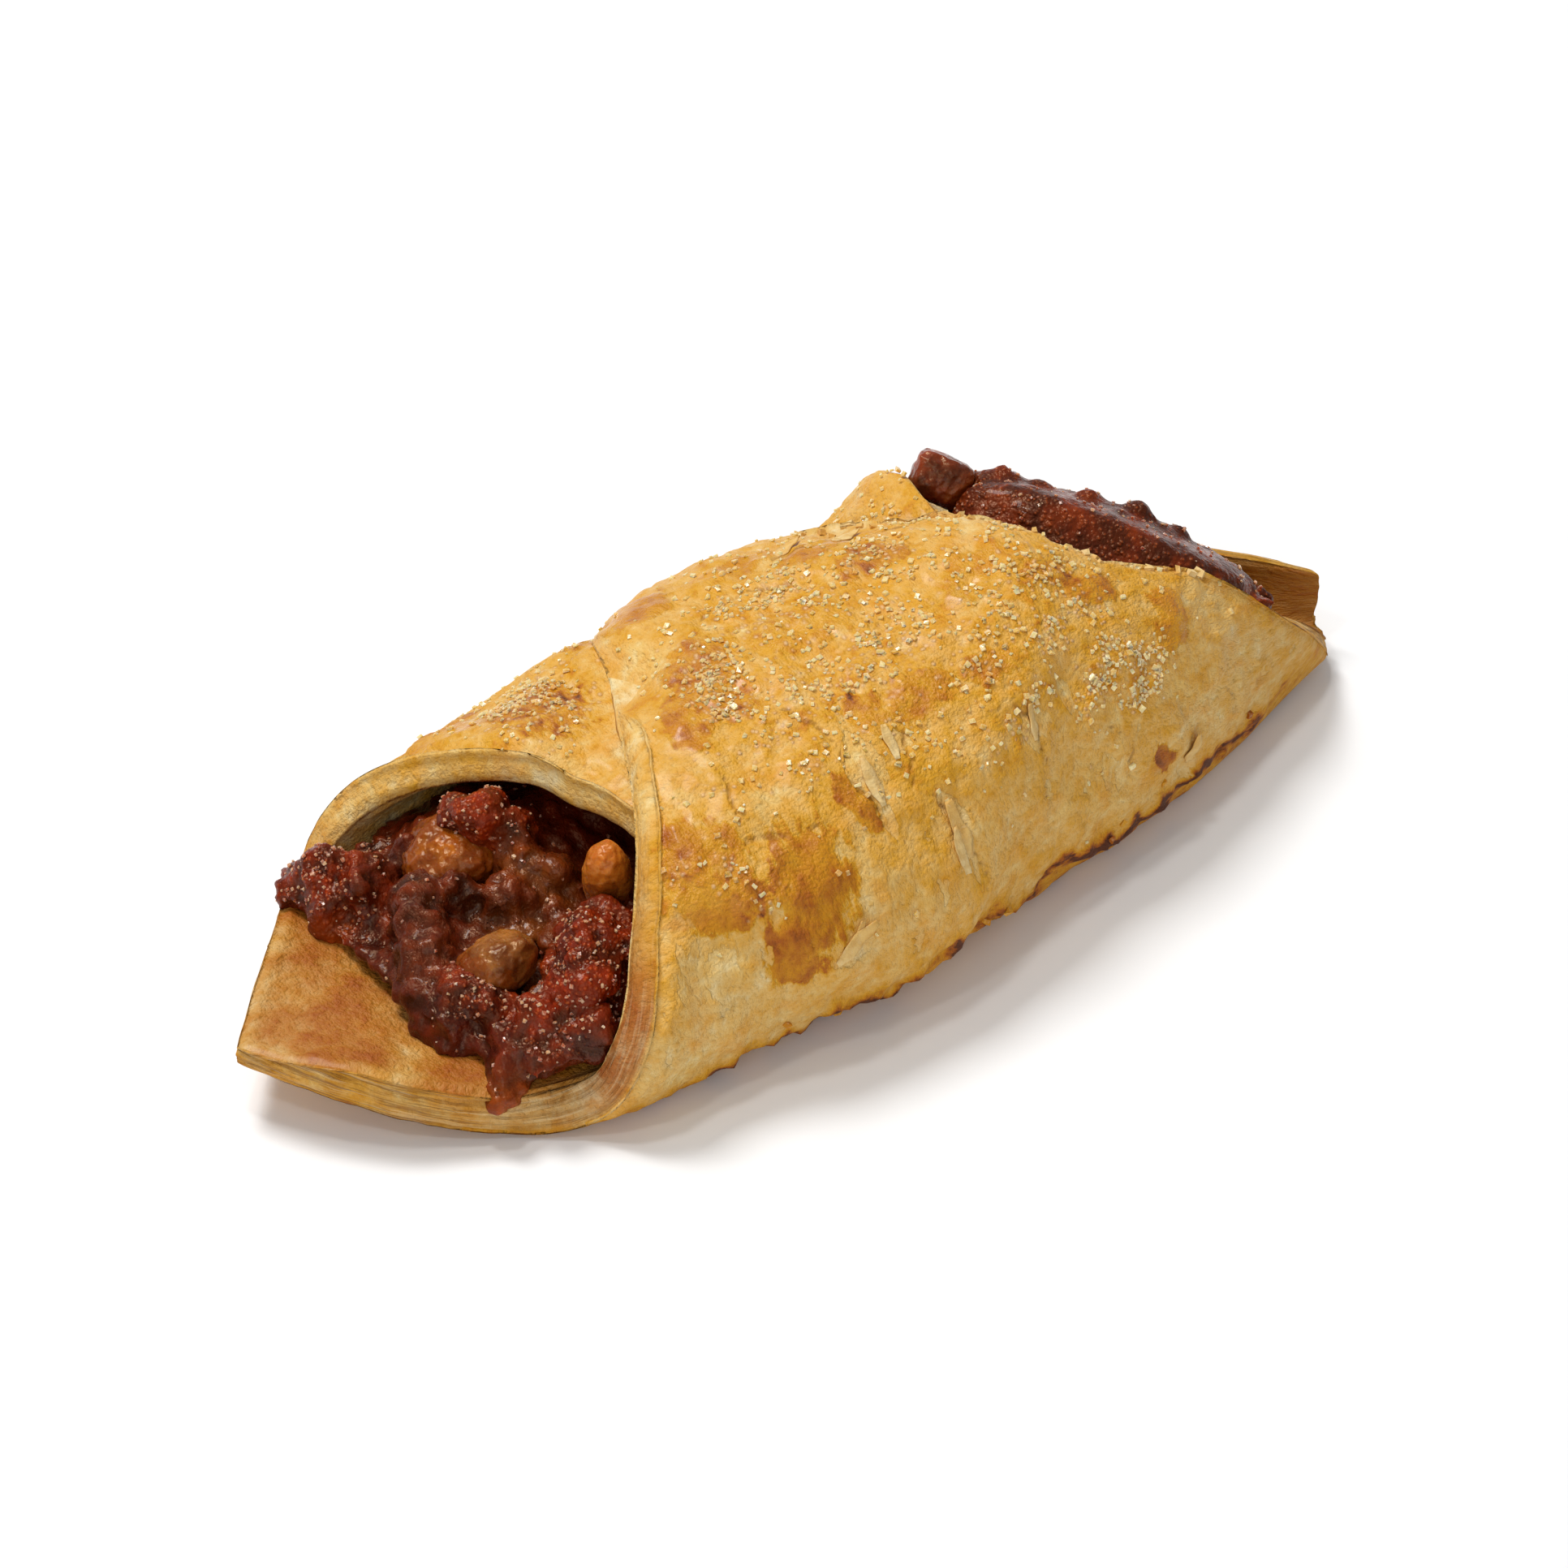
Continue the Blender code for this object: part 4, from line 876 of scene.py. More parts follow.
def sugar_material():
    m = Nodes("sugar_grain", Metallic=0., IOR=1.50)
    frost = m.spread(m.noise(.30, 2), .40, .62)
    c = m.blend("MIX", m.times(frost, .22), m.attribute("tint", "Color"), (*tone(252, 232, 200), 1))
    m.join(c, "Base Color")
    m.join(m.spread(frost, 0, 1, .12, .34), "Roughness")
    m.shader.inputs["Subsurface Weight"].default_value = .8
    m.shader.inputs["Subsurface Radius"].default_value = (.0012, .0009, .0006)
    m.shader.inputs["Subsurface Scale"].default_value = 1.0
    m.bump(m.noise(.25, 2), .05, .6)
    return m.material


# ---------------------------------------------------------------- the fruit paste
# lumps of paste: centre and radius in millimetres, before the shift across
LUMPS = ((-52.4, 17.8, 8.9, 2.9), (-50.3, 16.1, 10.0, 3.9), (-47.8, 12.8, 10.4, 3.5), (-51.6, 12.9, 8.6, 3.0), (-49.0, 9.6, 9.0, 2.4),
         (-44.8, 6.3, 12.0, 3.1), (-46.5, 3.0, 11.6, 3.4), (-47.8, -.6, 10.3, 3.5), (-48.8, -4.2, 8.8, 3.1), (-40.6, 4.6, 11.8, 2.7),
         (-47.8, -7.0, 8.2, 4.2), (-46.3, -8.8, 9.4, 3.3), (-49.0, -9.4, 6.9, 2.8), (-50.3, -6.4, 6.9, 2.5),
         (-47.2, -16.4, 6.7, 2.5), (-44.4, -16.0, 8.2, 3.4), (-41.0, -15.6, 10.0, 3.9), (-36.8, -14.6, 12.2, 4.3), (-34.0, -12.4, 13.8, 4.0),
         (-31.2, -10.0, 14.8, 3.1), (-38.6, -17.8, 9.6, 3.4), (-45.2, -12.6, 6.2, 1.9),
         (-34.6, 9.4, 16.2, 3.4), (-36.6, 12.0, 14.6, 2.7), (-32.6, 6.6, 15.6, 2.5), (-41.6, 13.6, 11.2, 2.3),
         (-33.2, 4.2, 12.8, 2.6), (-30.6, 1.4, 12.0, 2.5), (-36.4, 1.6, 11.4, 2.7), (-47.8, -17.3, 6.4, 2.3), (-48.8, -18.1, 5.7, 2.0), (-49.4, -18.7, 5.0, 1.4), (-44.6, -9.8, 9.7, 2.4),
         (38.2, 20.0, 23.0, 3.2), (41.6, 17.6, 22.6, 2.8), (46.4, 14.8, 20.6, 2.7), (50.6, 11.8, 18.8, 2.6), (54.8, 8.4, 16.5, 2.2),
         (56.6, 5.8, 14.8, 1.7), (36.6, 22.4, 23.0, 2.0), (35.4, 22.4, 21.6, 2.2))
# the strip at the back thins out along the near flap's edge: from, to, radius at both ends
TAIL = ((57.0, 5.2, 14.0), (62.2, .9, 11.0), 1.6, .8)
PASTE_GRID = .00046


def from_remesh(points, faces, grid, smooth):
    """The points and faces of a closed surface wrapped round some solids on an even grid."""
    obj = mesh_object("wrap", points, faces)
    step = obj.modifiers.new("wrap", "REMESH")
    step.mode = "VOXEL"
    step.voxel_size = grid
    ease_off = obj.modifiers.new("ease", "SMOOTH")
    ease_off.factor, ease_off.iterations = .5, smooth
    done = bpy.data.meshes.new_from_object(obj.evaluated_get(bpy.context.evaluated_depsgraph_get()))
    bpy.data.objects.remove(obj)
    count = len(done.vertices)
    at, turn = np.zeros(count * 3, np.float32), np.zeros(count * 3, np.float32)
    done.vertices.foreach_get("co", at)
    done.vertices.foreach_get("normal", turn)
    polys = [tuple(f.vertices) for f in done.polygons]
    bpy.data.meshes.remove(done)
    return at.reshape(-1, 3).astype(float), turn.reshape(-1, 3).astype(float), polys


def ball(centre, radius, segments=20, rings=12):
    """Points and faces of a ball, or of an egg with three radii."""
    radius = np.broadcast_to(np.asarray(radius, float), 3)
    th = np.linspace(0, np.pi, rings + 1)[1:-1]
    ph = np.linspace(0, 2 * np.pi, segments, endpoint=False)
    T, P = np.meshgrid(th, ph, indexing="ij")
    pts = np.stack([np.sin(T) * np.cos(P), np.sin(T) * np.sin(P), np.cos(T)], -1).reshape(-1, 3)
    pts = np.concatenate([pts, [[0, 0, 1], [0, 0, -1]]]) * radius + np.asarray(centre, float)
    faces = []
    for r in range(rings - 2):
        for s in range(segments):
            e = (s + 1) % segments
            faces.append((r * segments + s, (r + 1) * segments + s, (r + 1) * segments + e, r * segments + e))
    top, bottom = len(pts) - 2, len(pts) - 1
    for s in range(segments):
        e = (s + 1) % segments
        faces.append((top, s, e))
        faces.append((bottom, (rings - 2) * segments + e, (rings - 2) * segments + s))
    return pts, faces


def joined(parts):
    points, faces, base = [], [], 0
    for p, f in parts:
        points.append(p)
        faces += [tuple(v + base for v in face) for face in f]
        base += len(p)
    return np.concatenate(points), faces


def clod(centre, radius, seed):
    """An uneven lump of paste; millimetres before the shift."""
    points, faces = ball((0, 0, 0), 1, 26, 15)
    points = points * radius * np.random.default_rng(300 + seed).uniform(.84, 1.14, 3)
    at = points + np.array(centre)
    grow = 1 + .20 * noise(at, 2.6, 95) + .12 * noise(at, 1.4, 96)
    return (points * grow[:, None] + np.array(centre)) / 1000 + SHIFT, faces


def near_to(p, spots):
    """How strongly places in millimetres are near the spots (x, y, z, radius), 0 to 1."""
    out = np.zeros(len(p))
    for x, y, z, r in spots:
        out = np.maximum(out, np.exp(-(((p - np.array((x, y, z)))**2).sum(-1) / r**2)))
    return out


def paste():
    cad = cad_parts["filling"].data
    at = np.array([v.co[:] for v in cad.vertices])
    p = (at - SHIFT) * 1000
    # the lumps stand over the open part's even top, which sinks between them, deepest in the hollow
    mouth = 1 - ease(p[:, 0], -30, -18)
    floor = np.interp(p[:, 0], (-56, -44, -24), (7.0, 6.6, 5.6))
    deep = ease(p[:, 2] - floor, 2.2, 5.0) * mouth * (2.1 + 1.5 * ease(p[:, 1], 9, 14) * ease(-p[:, 0], 34, 46))
    pit = 1.8 * np.exp(-((p[:, 0] + 19) / 9)**2 - ((p[:, 1] + 2) / 10)**2) * ease(p[:, 2], 8, 11)
    at[:, 2] -= (deep + pit) / 1000
    parts = [(at, [tuple(f.vertices) for f in cad.polygons])]
    start, end, thick, thin = TAIL
    tail = [(*(np.array(start) * (1 - t) + np.array(end) * t), thick * (1 - t) + thin * t) for t in np.linspace(0, 1, 12)]
    for n, (x, y, z, r) in enumerate(LUMPS + tuple(tail)):
        parts.append(clod((x, y, z), r, n))
    at, turn, faces = from_remesh(*joined(parts), PASTE_GRID, 3)
    p = (at - SHIFT) * 1000
    open_part = np.maximum(1 - ease(p[:, 0], -20, -8), ease(p[:, 0], 24, 34))
    move = (.50 * rough(p, 4.6, 2, 84) + .42 * rough(p, 2.4, 2, 81) + .34 * rough(p, 1.2, 2, 82) * (1 - .5 * ease(p[:, 0], 24, 34))) * open_part * (1 - .66 * ease(p[:, 0], 24, 34))
    pips, _, _ = cells(p, 1.15, 83)
    # the paste is grainy where it stands up, and smooth and wet low down
    blot = rough(p, 2.6, 3, 85)
    red = near_to(p, ((-51, 15.5, 11.0, 5.0), (-36.0, -14.5, 15, 6.5), (-41.5, -16, 12.5, 4.6), (-34.5, 9.5, 18, 4.6), (-45.6, -9, 12.0, 3.8),
                      (-49.5, 12, 9, 4)))
    back = ease(p[:, 0], 20, 30)
    grainy = np.clip(1.25 * red * ease(blot, -1.2, .0) + .65 * back, 0, 1)
    at = at + turn * ((move + .26 * (.55 - pips) * grainy * open_part) / 1000)[:, None]
    c = np.broadcast_to(tone(104, 36, 16), (len(p), 3)).copy()
    c = mix(c, np.broadcast_to(tone(64, 18, 8), c.shape), ease(blot, -.2, .8) * .9)
    mauve = near_to(p, ((-45, 5, 12.5, 4.6), (-47.5, 0, 11.5, 4.8), (-40, 2, 12, 4.2), (-43, 8.5, 11, 2.6), (-46.5, -5, 11, 3.0)))
    c = mix(c, np.broadcast_to(tone(108, 50, 34), c.shape), mauve * (.75 + .4 * blot))
    violet = near_to(p, ((-50, -6, 5.5, 3.6), (-48.5, -11, 6, 3.8), (-45.5, -15.5, 7.0, 3.8), (-39, -19.0, 8.4, 3.6)))
    c = mix(c, np.broadcast_to(tone(84, 36, 50), c.shape), violet * (.8 + .3 * blot))
    c = mix(c, np.broadcast_to(tone(178, 62, 18), c.shape), red * ease(blot, -1.0, .2))
    # painted shade: dark where the surface sinks between the lumps, so that it is clearer and redder where it stands up
    sunk_shade = np.clip(.5 - .9 * (rough(p, 2.4, 2, 81) * .6 + rough(p, 1.2, 2, 82) * .5), 0, 1)
    c = c * (1 - .72 * sunk_shade[:, None]**1.3)
    drip = near_to(p, ((-49.0, -18.6, 5.2, 2.6), (-52.2, 11.5, 7.6, 1.8), (-36, -18, 7, 2.0)))
    c = mix(c, np.broadcast_to(tone(178, 92, 36), c.shape), drip * .85)
    clear = near_to(p, ((-31.5, 1.0, 12.4, 3.4), (-34, 3.6, 13.4, 2.8), (-38, -3.0, 10.5, 3.6), (-40, -10, 8.5, 3.0)))
    c = mix(c, np.broadcast_to(tone(128, 76, 40), c.shape), clear * .8)
    # painted shade: near black-brown in the hollow under the near flap, where the paste lies in the flap's shadow
    pit = near_to(p, ((-19, -2, 11, 8.5), (-14, 1, 13, 8.5), (-25, -3, 9, 4.6), (-24, 6, 15, 5.0)))
    c = mix(c, np.broadcast_to(tone(80, 22, 5), c.shape), pit * 1.3)
    c = mix(c, mix(np.broadcast_to(tone(86, 36, 20), c.shape), np.broadcast_to(tone(134, 58, 26), c.shape), ease(blot, -.3, .7)), back)
    c = mix(c, np.broadcast_to(tone(130, 60, 24), c.shape), near_to(p, ((44.5, 15.5, 22.4, 3.4),)) * .9)
    c = c * np.array((1.12, .86, .36))
    wet = np.clip(.35 + .4 * blot + .3 * mauve + .7 * violet + .7 * clear - .5 * pit, 0, 1)
    return mesh_object("paste", at, faces, c, {"shine": wet, "grainy": grainy, "thread": np.clip(mauve + .6 * clear, 0, 1)}), (at, turn, red, back, p)


# ---------------------------------------------------------------- the fruit pieces
def fruit(name, centre, half, lean, seed, squareness=2.5, bumps=.10, facets=0., axes=None, skin=None):
    """An uneven lump; facets flattens it here and there, like a piece cut from a fruit. axes: its long and its upward direction."""
    bm = bmesh.new()
    bmesh.ops.create_icosphere(bm, subdivisions=6, radius=1)
    d = np.array([v.co[:] for v in bm.verts])
    faces = [tuple(v.index for v in f.verts) for f in bm.faces]
    bm.free()
    rng = np.random.default_rng(seed)
    r = (np.abs(d)**squareness).sum(-1)**(-1 / squareness)
    for _ in range(7 if facets else 0):
        n = rng.normal(size=3)
        n /= np.linalg.norm(n)
        reach = (d * r[:, None]) @ n
        level = rng.uniform(.72, .90)
        r = np.where(reach > level, r * (1 - facets * (1 - level / np.maximum(reach, 1e-6))), r)
    p = d * r[:, None] * np.array(half)
    r = 1 + bumps * rough(p, 3.2, 3, seed) + .030 * rough(p, .9, 2, seed + 5)
    p = p * r[:, None]
    turn = np.array((Matrix.Rotation(math.radians(lean[0]), 3, "Y") @ Matrix.Rotation(math.radians(lean[1]), 3, "X")))
    if axes:
        e = np.array(axes[0]) / np.linalg.norm(axes[0])
        f = np.array(axes[1]) - e * (e @ np.array(axes[1]))
        f /= np.linalg.norm(f)
        turn = np.stack([e, np.cross(f, e), f], -1)
    p = p @ turn.T + np.array(centre)
    at = p / 1000 + SHIFT
    # how near each place is to the paste round it, which is smeared over the lump's edge
    near = np.array([skin.find_nearest(Vector(v))[3] for v in at]) * 1000
    return mesh_object(name, at, faces, None, {"smear": 1 - ease(near, .2, 2.6)})


# ---------------------------------------------------------------- sugar, crumbs and flakes
def crystals(name, spots, seed, sizes, colour_of):
    """One mesh of small uneven grains with flat faces, half sunk. spots: place, outward direction; metres."""
    rng = np.random.default_rng(seed)
    corner = np.array([(x, y, z) for x in (-1, 1) for y in (-1, 1) for z in (-1, 1)], float)
    quads = np.array([(0, 1, 3, 2), (4, 6, 7, 5), (0, 4, 5, 1), (2, 3, 7, 6), (0, 2, 6, 4), (1, 5, 7, 3)])
    points, faces, tints = [], [], []
    for n, (at, out) in enumerate(spots):
        size = rng.uniform(*sizes) / 2000
        side = np.cross(out, rng.normal(size=3))
        side /= np.linalg.norm(side)
        up = out + .35 * rng.normal(size=3)
        up /= np.linalg.norm(up)
        side = side - up * (side @ up)
        side /= np.linalg.norm(side)
        shape = corner * (rng.uniform(.75, 1.15), rng.uniform(.65, 1.0), rng.uniform(.45, .75)) + rng.normal(0, .16, (8, 3))
        grain = (shape @ np.stack([side, np.cross(up, side), up])) * size + at + out * size * rng.uniform(-.05, .40)
        grain[:, 2] += max(0, .00002 - grain[:, 2].min())                   # none goes through the table
        points.append(grain)
        faces.append(quads + 8 * n)
        tints.append(np.repeat(colour_of(rng, n)[None], 8, 0))
    return mesh_object(name, np.concatenate(points), np.concatenate(faces).tolist(), np.concatenate(tints), smooth=False)


def scatter_sugar(grid):
    """Grains over the washed top, thick in patches, none where the near flap lies over."""
    A, B, outer, n_out, moved, look = grid
    rng = np.random.default_rng(7)
    x, q = place_of(A, B)
    density = 0 * x
    p = outer * 1000
    clump = rough(p, 3.4, 2, 91)
    for at in SUGAR:
        d = np.hypot((x - at[0]) / at[2], (q - at[1]) / at[3])
        density = np.maximum(density, at[4] * np.exp(-1.1 * d**2.4))
    density = 1.6 * density * (.18 + 1.25 * ease(clump, -.45, .65))
    covered = (q < 0) & (-q > 2 - np.interp(x, STATIONS, NEAR_EASED) - .02)
    density = np.where(covered, 0, density)
    cell = np.linalg.norm(np.cross(p[1:, :-1] - p[:-1, :-1], p[:-1, 1:] - p[:-1, :-1]), axis=-1)      # square millimetres
    pick = np.argwhere(rng.random(cell.shape) < density[:-1, :-1] * cell / 100)
    base = ramp(np.where(look["amber"] > .5, look["amber_bake"], look["bake"]), BAKE)
    spots, tint, cool = [], [], []
    for i, j in pick:
        u, v = rng.random(2)
        at = moved[i, j] * (1 - u) * (1 - v) + moved[i + 1, j] * u * (1 - v) + moved[i, j + 1] * (1 - u) * v + moved[i + 1, j + 1] * u * v
        spots.append((at + SHIFT, n_out[i, j]))
        tint.append(base[i, j])
        cool.append(np.exp(-((x[i, j] - .205) / .06)**2 - ((q[i, j] - .75) / .12)**2))
    print("sugar grains", len(spots))

    def colour_of(rng, n):
        light = rng.uniform(.12, .88)
        white = tone(255, 222, 166) if rng.random() < .6 else tone(252, 198, 134)
        white = white * (1 - cool[n]) + tone(252, 222, 172) * cool[n]
        return (tint[n] * (1 - light) + white * light) * np.array((1.04, .97, .86))
    return crystals("sugar", spots, 11, (.26, .66), colour_of)


def scatter_grains(made):
    """Small clear grains that stand out of the paste, where it is red and dry, and a few at the back. Their paler
    colours are painted highlight, standing in for the paste's small bright sparkles.
    """
    at, turn, red, back, p = made
    rng = np.random.default_rng(23)
    back_top = back * ease(turn[:, 2], .1, .6) * ease(p[:, 1] - np.interp(p[:, 0], (34, 44, 64), (14, 6, -6)), 0, 2)
    want = np.clip(.16 * np.clip(red * 1.4 + .08, 0, 1) * ease(p[:, 2], 6, 8) * ease(turn[:, 2] - .6 * turn[:, 1] - .3 * turn[:, 0], -.2, .4) + .030 * back_top, 0, 1)
    pick = np.flatnonzero(rng.random(len(at)) < want)
    spots = [(at[k], turn[k]) for k in pick]
    print("paste grains", len(spots))

    def colour_of(rng, n):
        # painted highlight: the paler colours stand in for sparkles of light on the paste's own dark red
        light = rng.uniform(0, 1)**2.6
        return tone(150, 50, 16) * (1 - light) + tone(236, 158, 112) * light
    return crystals("paste_grains", spots, 29, (.16, .44), colour_of)


# flakes of the outer leaf that stand off the crust: station, girth, turn from the line round the roll in degrees,
# length and width in millimetres, and how far the free end stands up
FLAKES = ((.036, .585, -6, 6.0, 2.3, .70), (.027, .560, 2, 4.6, 1.8, .45), (-.098, .530, 62, 5.6, 1.6, .85), (-.078, .530, 20, 3.4, 1.4, .5),
          (.290, .425, 4, 5.2, 2.3, .70), (-.020, .715, 2, 5.0, 1.8, .45), (.006, .765, 8, 3.6, 1.8, .50),
          (.124, .690, 10, 3.6, 1.6, .40), (.060, 1.240, 70, 4.0, 1.6, .45),
          (.105, 1.205, 66, 4.2, 1.7, .45), (-.200, -.600, 8, 3.6, 1.6, .45), (.030, -.560, -12, 3.8, 1.7, .50), (.150, -.520, -6, 3.2, 1.5, .40))


def on_crust(grid, x0, q0):
    """The grid place nearest a station and a girth, and the grid steps for a millimetre along the roll and round it."""
    A, B = grid[0], grid[1]
    x, q = place_of(A, B)
    i, j = np.unravel_index(np.argmin(((x - x0) * ALONG)**2 + ((q - q0) * ROUND)**2), x.shape)
    i, j = min(max(i, 2), x.shape[0] - 3), min(max(j, 2), x.shape[1] - 3)
    turn = np.array(((x[i + 1, j] - x[i - 1, j], x[i, j + 1] - x[i, j - 1]), (q[i + 1, j] - q[i - 1, j], q[i, j + 1] - q[i, j - 1]))) / 2
    return i, j, np.linalg.inv(turn * np.array(((ALONG,), (ROUND,))))


def flakes(grid):
    moved, n_out = grid[4], grid[3]
    points, faces, tints, base = [], [], [], 0
    rng = np.random.default_rng(31)
    rows, cols = 12, 7

    def surface(i, j):
        i, j = np.clip(i, 0, moved.shape[0] - 1.001), np.clip(j, 0, moved.shape[1] - 1.001)
        k, l = i.astype(int), j.astype(int)
        u, v = (i - k)[..., None], (j - l)[..., None]
        return [f[k, l] * (1 - u) * (1 - v) + f[k + 1, l] * u * (1 - v) + f[k, l + 1] * (1 - u) * v + f[k + 1, l + 1] * u * v for f in (moved, n_out)]

    for n, (x0, q0, heading, length, width, lift) in enumerate(FLAKES):
        i, j, step = on_crust(grid, x0, q0)
        h = math.radians(heading)
        along, across = np.array((math.sin(h), math.cos(h))), np.array((math.cos(h), -math.sin(h)))
        U, V = np.meshgrid(np.linspace(0, 1, rows), np.linspace(-.5, .5, cols), indexing="ij")
        ragged = .85 + .28 * noise(np.stack([U * 3, 3 * np.sign(V), 0 * U + 9 * n], -1), 1, 301)
        shape = (1 - .60 * U**3) * (.45 + .55 * ease(U, 0, .35)) * ragged
        mm = (U[..., None] * length * along + (V * width * shape)[..., None] * across)
        ij = mm @ step.T + np.array((i, j))
        p, out = surface(ij[..., 0], ij[..., 1])
        up = .05 + lift * U**1.8 + .10 * noise(np.stack([U * 3, V * 3, 0 * U + 5 * n], -1), 1, 302)
        top, low = p + out * ((up + .07) / 1000)[..., None], p + out * ((up - .05) / 1000)[..., None]
        low[0], low[1] = low[0] - out[0] * .0002, low[1] - out[1] * .0001
        points.append(np.concatenate([top.reshape(-1, 3), low.reshape(-1, 3)]))
        idx = np.arange(rows * cols).reshape(rows, cols) + base
        under = idx + rows * cols
        faces += np.stack([idx[:-1, :-1], idx[1:, :-1], idx[1:, 1:], idx[:-1, 1:]], -1).reshape(-1, 4).tolist()
        faces += np.stack([under[:-1, :-1], under[:-1, 1:], under[1:, 1:], under[1:, :-1]], -1).reshape(-1, 4).tolist()
        ring = [(r, 0) for r in range(rows - 1)] + [(rows - 1, c) for c in range(cols - 1)] + [(rows - 1 - r, cols - 1) for r in range(rows - 1)] + [(0, cols - 1 - c) for c in range(cols - 1)]
        for (a0, b0), (a1, b1) in zip(ring, ring[1:] + ring[:1]):
            faces.append((int(idx[a0, b0]), int(under[a0, b0]), int(under[a1, b1]), int(idx[a1, b1])))
        base += 2 * rows * cols
        level = .03 + .14 * rng.random() + .14 * U
        both = np.concatenate([level.ravel(), level.ravel() + .05])
        tints.append(ramp(both, BAKE))
    return mesh_object("flakes", np.concatenate(points) + SHIFT, faces, np.concatenate(tints))


def crumbs(grid):
    """Small broken bits of crust along the back cut and the lower corner."""
    moved, n_out = grid[4], grid[3]
    rng = np.random.default_rng(37)
    x, q = place_of(grid[0], grid[1])
    rim = (1 - grid[0]) * 126
    want = .26 * np.exp(-(rim / 1.5)**2) * ease(q, .80, .95) + .006 * np.exp(-((q - .40) / .03)**2) * ease(x, -.28, -.15) * (1 - ease(x, .3, .4))
    pick = np.argwhere(rng.random(x.shape) < want)
    spots = [(moved[i, j] + SHIFT, n_out[i, j]) for i, j in pick]
    level = [.04 + .34 * rng.random() if q[i, j] > .45 else .5 + .45 * rng.random() for i, j in pick]
    print("crumbs", len(spots))
    return crystals("crumbs", spots, 41, (.40, 1.2), lambda rng, n: ramp(np.array(level[n]), BAKE))


def flake_material():
    m = Nodes("crust_flake", None, Metallic=0., Roughness=.62)
    c = m.blend("MULTIPLY", m.spread(m.noise(1.0, 4), .40, .62), m.attribute("tint", "Color"), (.86, .76, .58, 1))
    c = m.blend("MIX", m.times(m.spread(m.noise(.5, 2), .55, .7), .30), c, (*tone(238, 214, 164), 1))
    m.join(c, "Base Color")
    m.shader.inputs["Specular IOR Level"].default_value = .3
    m.bump(m.sum((m.noise(.8, 4), 1.2, .5), (m.noise(.3, 2), .5, .5)), .22, .8)
    return m.material


# ---------------------------------------------------------------- put together
def ride(obj, slot, material, *nodes):
    obj.data.materials.clear()
    obj.data.materials.append(material)
    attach(obj, "root")
    print(obj.name, "triangles", sum(len(f.vertices) - 2 for f in obj.data.polygons))
    if nodes:
        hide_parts(*nodes)
    return obj


def build():
    points, faces, shares, grid = crust()
    dough = mesh_object("crust", points, faces, None, shares)
    face_out(dough, (((.0697, .0030, .0088), .0042, 24), ((.0290, .0250, .0262), .0050, 34)))
    ride(dough, "crust", crust_material(), "dough")
    filling, made = paste()
    ride(filling, "fruit_paste", paste_material(), "filling")
    skin = BVHTree.FromPolygons([v.co[:] for v in filling.data.vertices], [tuple(f.vertices) for f in filling.data.polygons])
    ride(fruit("amber_chunk", (-38.6, 10.6, 11.8), (5.6, 5.2, 3.8), (-20, 6), 101, 2.6, .09, .3, skin=skin), "amber_flesh",
         flesh_material("amber_flesh_looks", tone(108, 46, 8), tone(190, 104, 16)), "fruit_piece_amber")
    ride(fruit("pale_chunk", (-42.6, -5.9, 11.2), (4.7, 3.6, 2.8), (-18, -10), 102, 2.6, .09, .3, skin=skin), "pale_flesh",
         flesh_material("pale_flesh_looks", tone(106, 50, 14), tone(168, 106, 42)), "fruit_piece_pale")
    ride(fruit("strip", (-28.6, -5.6, 16.2), (2.6, 2.6, 5.4), (-6, 10), 103, 2.2, .035, skin=skin), "strip_flesh",
         flesh_material("strip_flesh_looks", tone(168, 84, 18), tone(212, 126, 38)), "fruit_strip")
    ride(fruit("back_chunk", (34.0, 24.6, 24.2), (3.8, 3.0, 2.9), (0, 0), 104, 4.2, .07, .4, ((.62, -.70, -.36), (.745, .168, .646)), skin), "back_flesh",
         flesh_material("back_flesh_looks", tone(84, 32, 14), tone(146, 58, 24)), "fruit_piece_back")
    sugar_skin = sugar_material()
    bits = flake_material()
    ride(flakes(grid), "crust", bits)
    ride(crumbs(grid), "crust", bits)
    ride(scatter_sugar(grid), "crust", sugar_skin)
    ride(scatter_grains(made), "fruit_paste", sugar_skin)


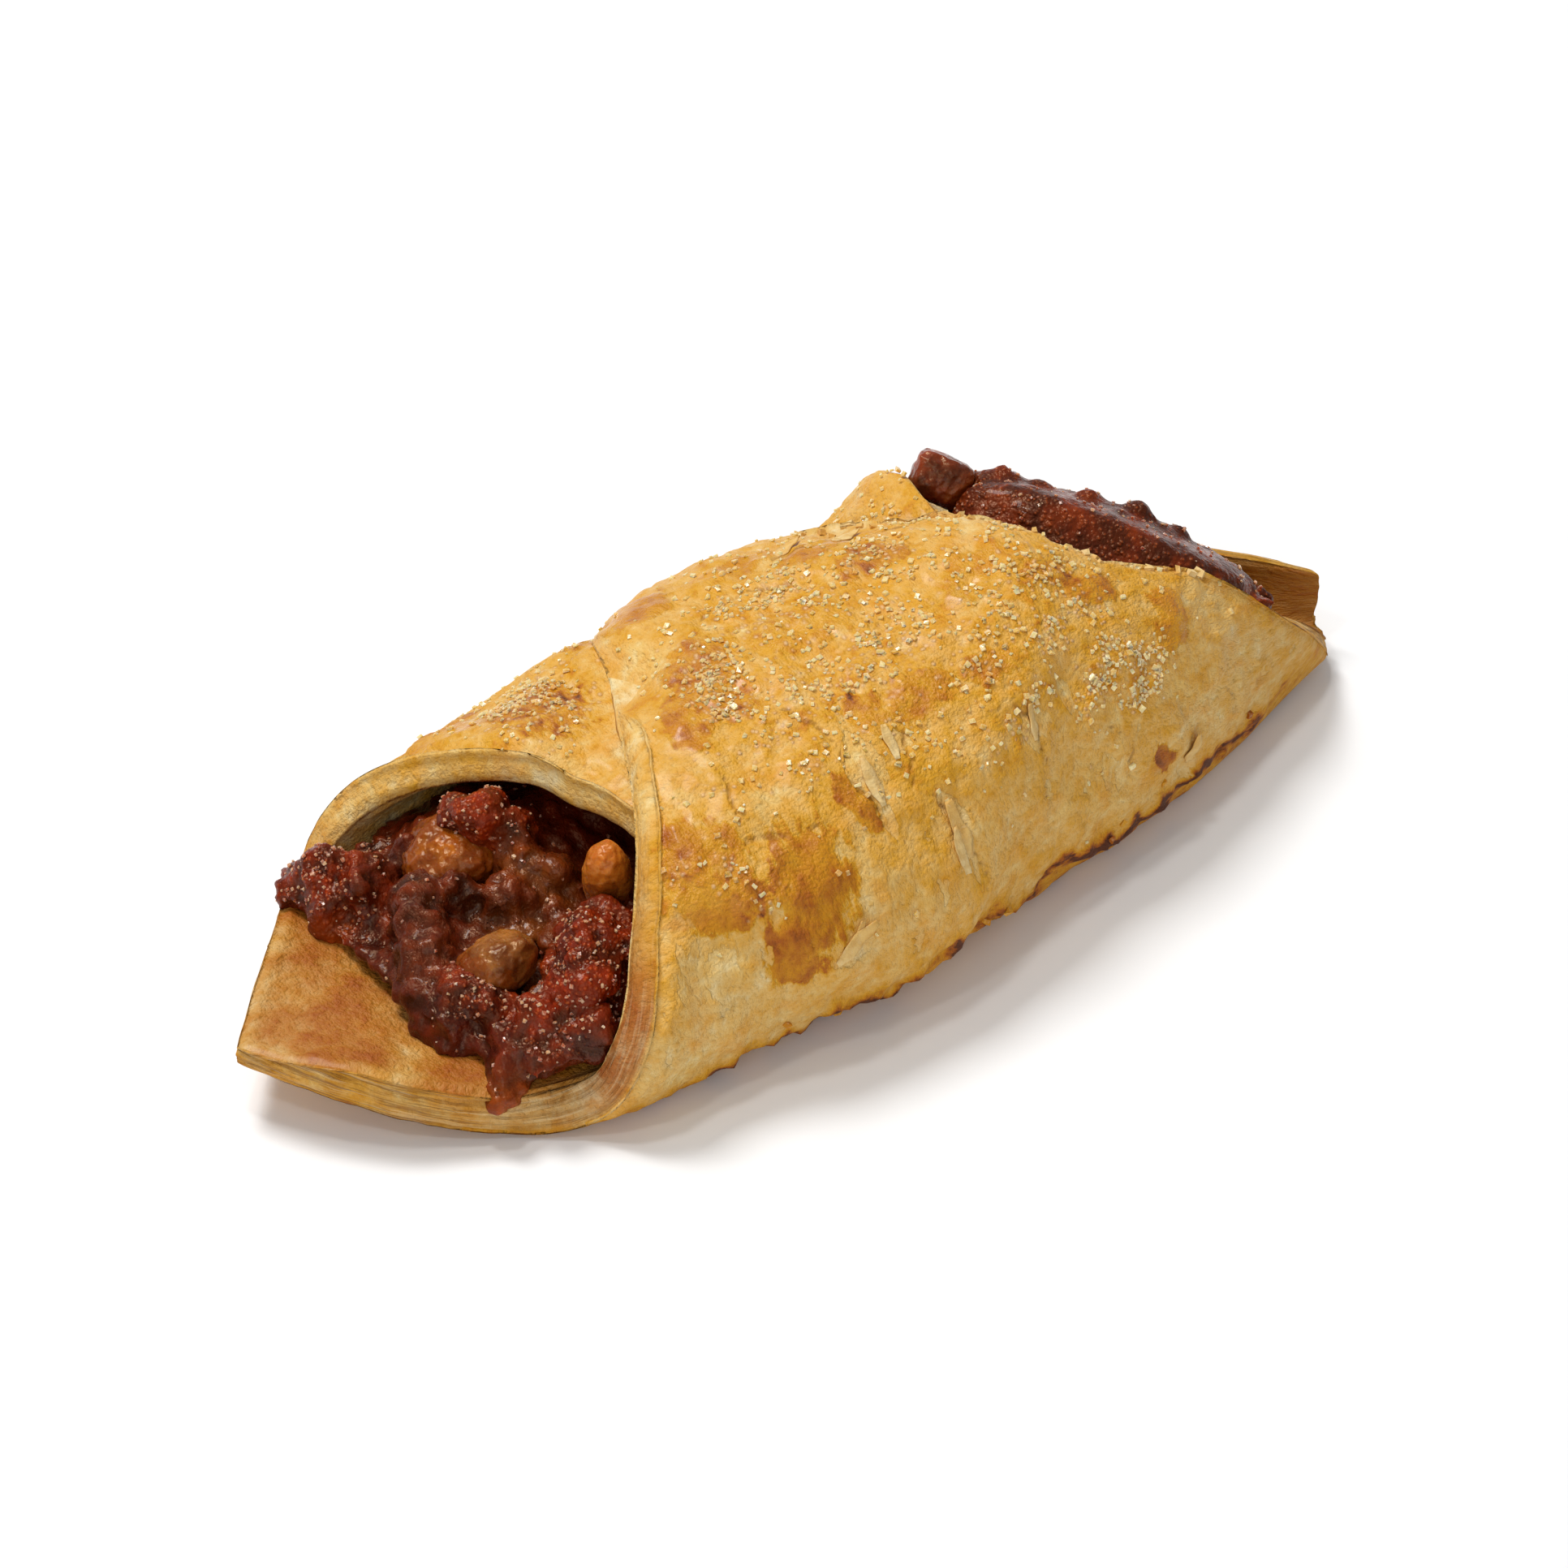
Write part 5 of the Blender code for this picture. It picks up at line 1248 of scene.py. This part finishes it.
def floor_and_light():
    scene = bpy.context.scene
    mesh = bpy.data.meshes.new("floor")
    mesh.from_pydata([(-3, -3, -.00003), (3, -3, -.00003), (3, 3, -.00003), (-3, 3, -.00003)], [], [(0, 1, 2, 3)])
    floor = bpy.data.objects.new("floor", mesh)
    scene.collection.objects.link(floor)
    white = Nodes("floor_white", Metallic=0.)
    white.shader.inputs["Base Color"].default_value = (.90, .90, .90, 1)
    white.shader.inputs["Roughness"].default_value = .9
    white.shader.inputs["Specular IOR Level"].default_value = 0.
    mesh.materials.append(white.material)
    world = bpy.data.worlds.new("studio")
    world.use_nodes = True
    sky = world.node_tree.nodes["Background"]
    sky.inputs[0].default_value = (1, 1, 1, 1)
    sky.inputs[1].default_value = .35
    scene.world = world
    for name, at, size, power in (("key", (-.10, .46, .88), .30, 6.75), ("fill", (-.70, -.85, .50), .8, 3.2), ("glint", (-.10, .12, 1.0), .10, 1.4),
                                  ("spark", (-.40, -.10, .75), .07, .5)):
        light = bpy.data.lights.new(name, "AREA")
        light.energy, light.size = power, size
        obj = bpy.data.objects.new(name, light)
        obj.location = at
        obj.rotation_euler = (Vector((0, 0, .01)) - obj.location).to_track_quat("-Z", "Y").to_euler()
        scene.collection.objects.link(obj)
    scene.view_settings.view_transform = "Standard"
    scene.view_settings.look = "None"


def camera():
    """The photograph's view: a long lens, looking down the roll from its near front."""
    azimuth, height = math.radians(-32.5), math.radians(40)
    back = Vector((math.sin(azimuth) * math.cos(height), -math.cos(azimuth) * math.cos(height), math.sin(height)))
    right = Vector((0, 0, 1)).cross(back).normalized()
    up = back.cross(right)
    aim = Vector((0, float(SHIFT[1]), .012)) - right * .00267 + up * .00024
    data = bpy.data.cameras.new("camera")
    data.lens, data.sensor_width, data.clip_start, data.clip_end = 117, 36, .01, 10
    obj = bpy.data.objects.new("camera", data)
    turn = Matrix((right, up, back)).transposed().to_4x4()
    turn.translation = aim + back * .55
    obj.matrix_world = turn
    bpy.context.scene.collection.objects.link(obj)
    bpy.context.scene.camera = obj


build()
floor_and_light()
camera()
bpy.context.view_layer.update()
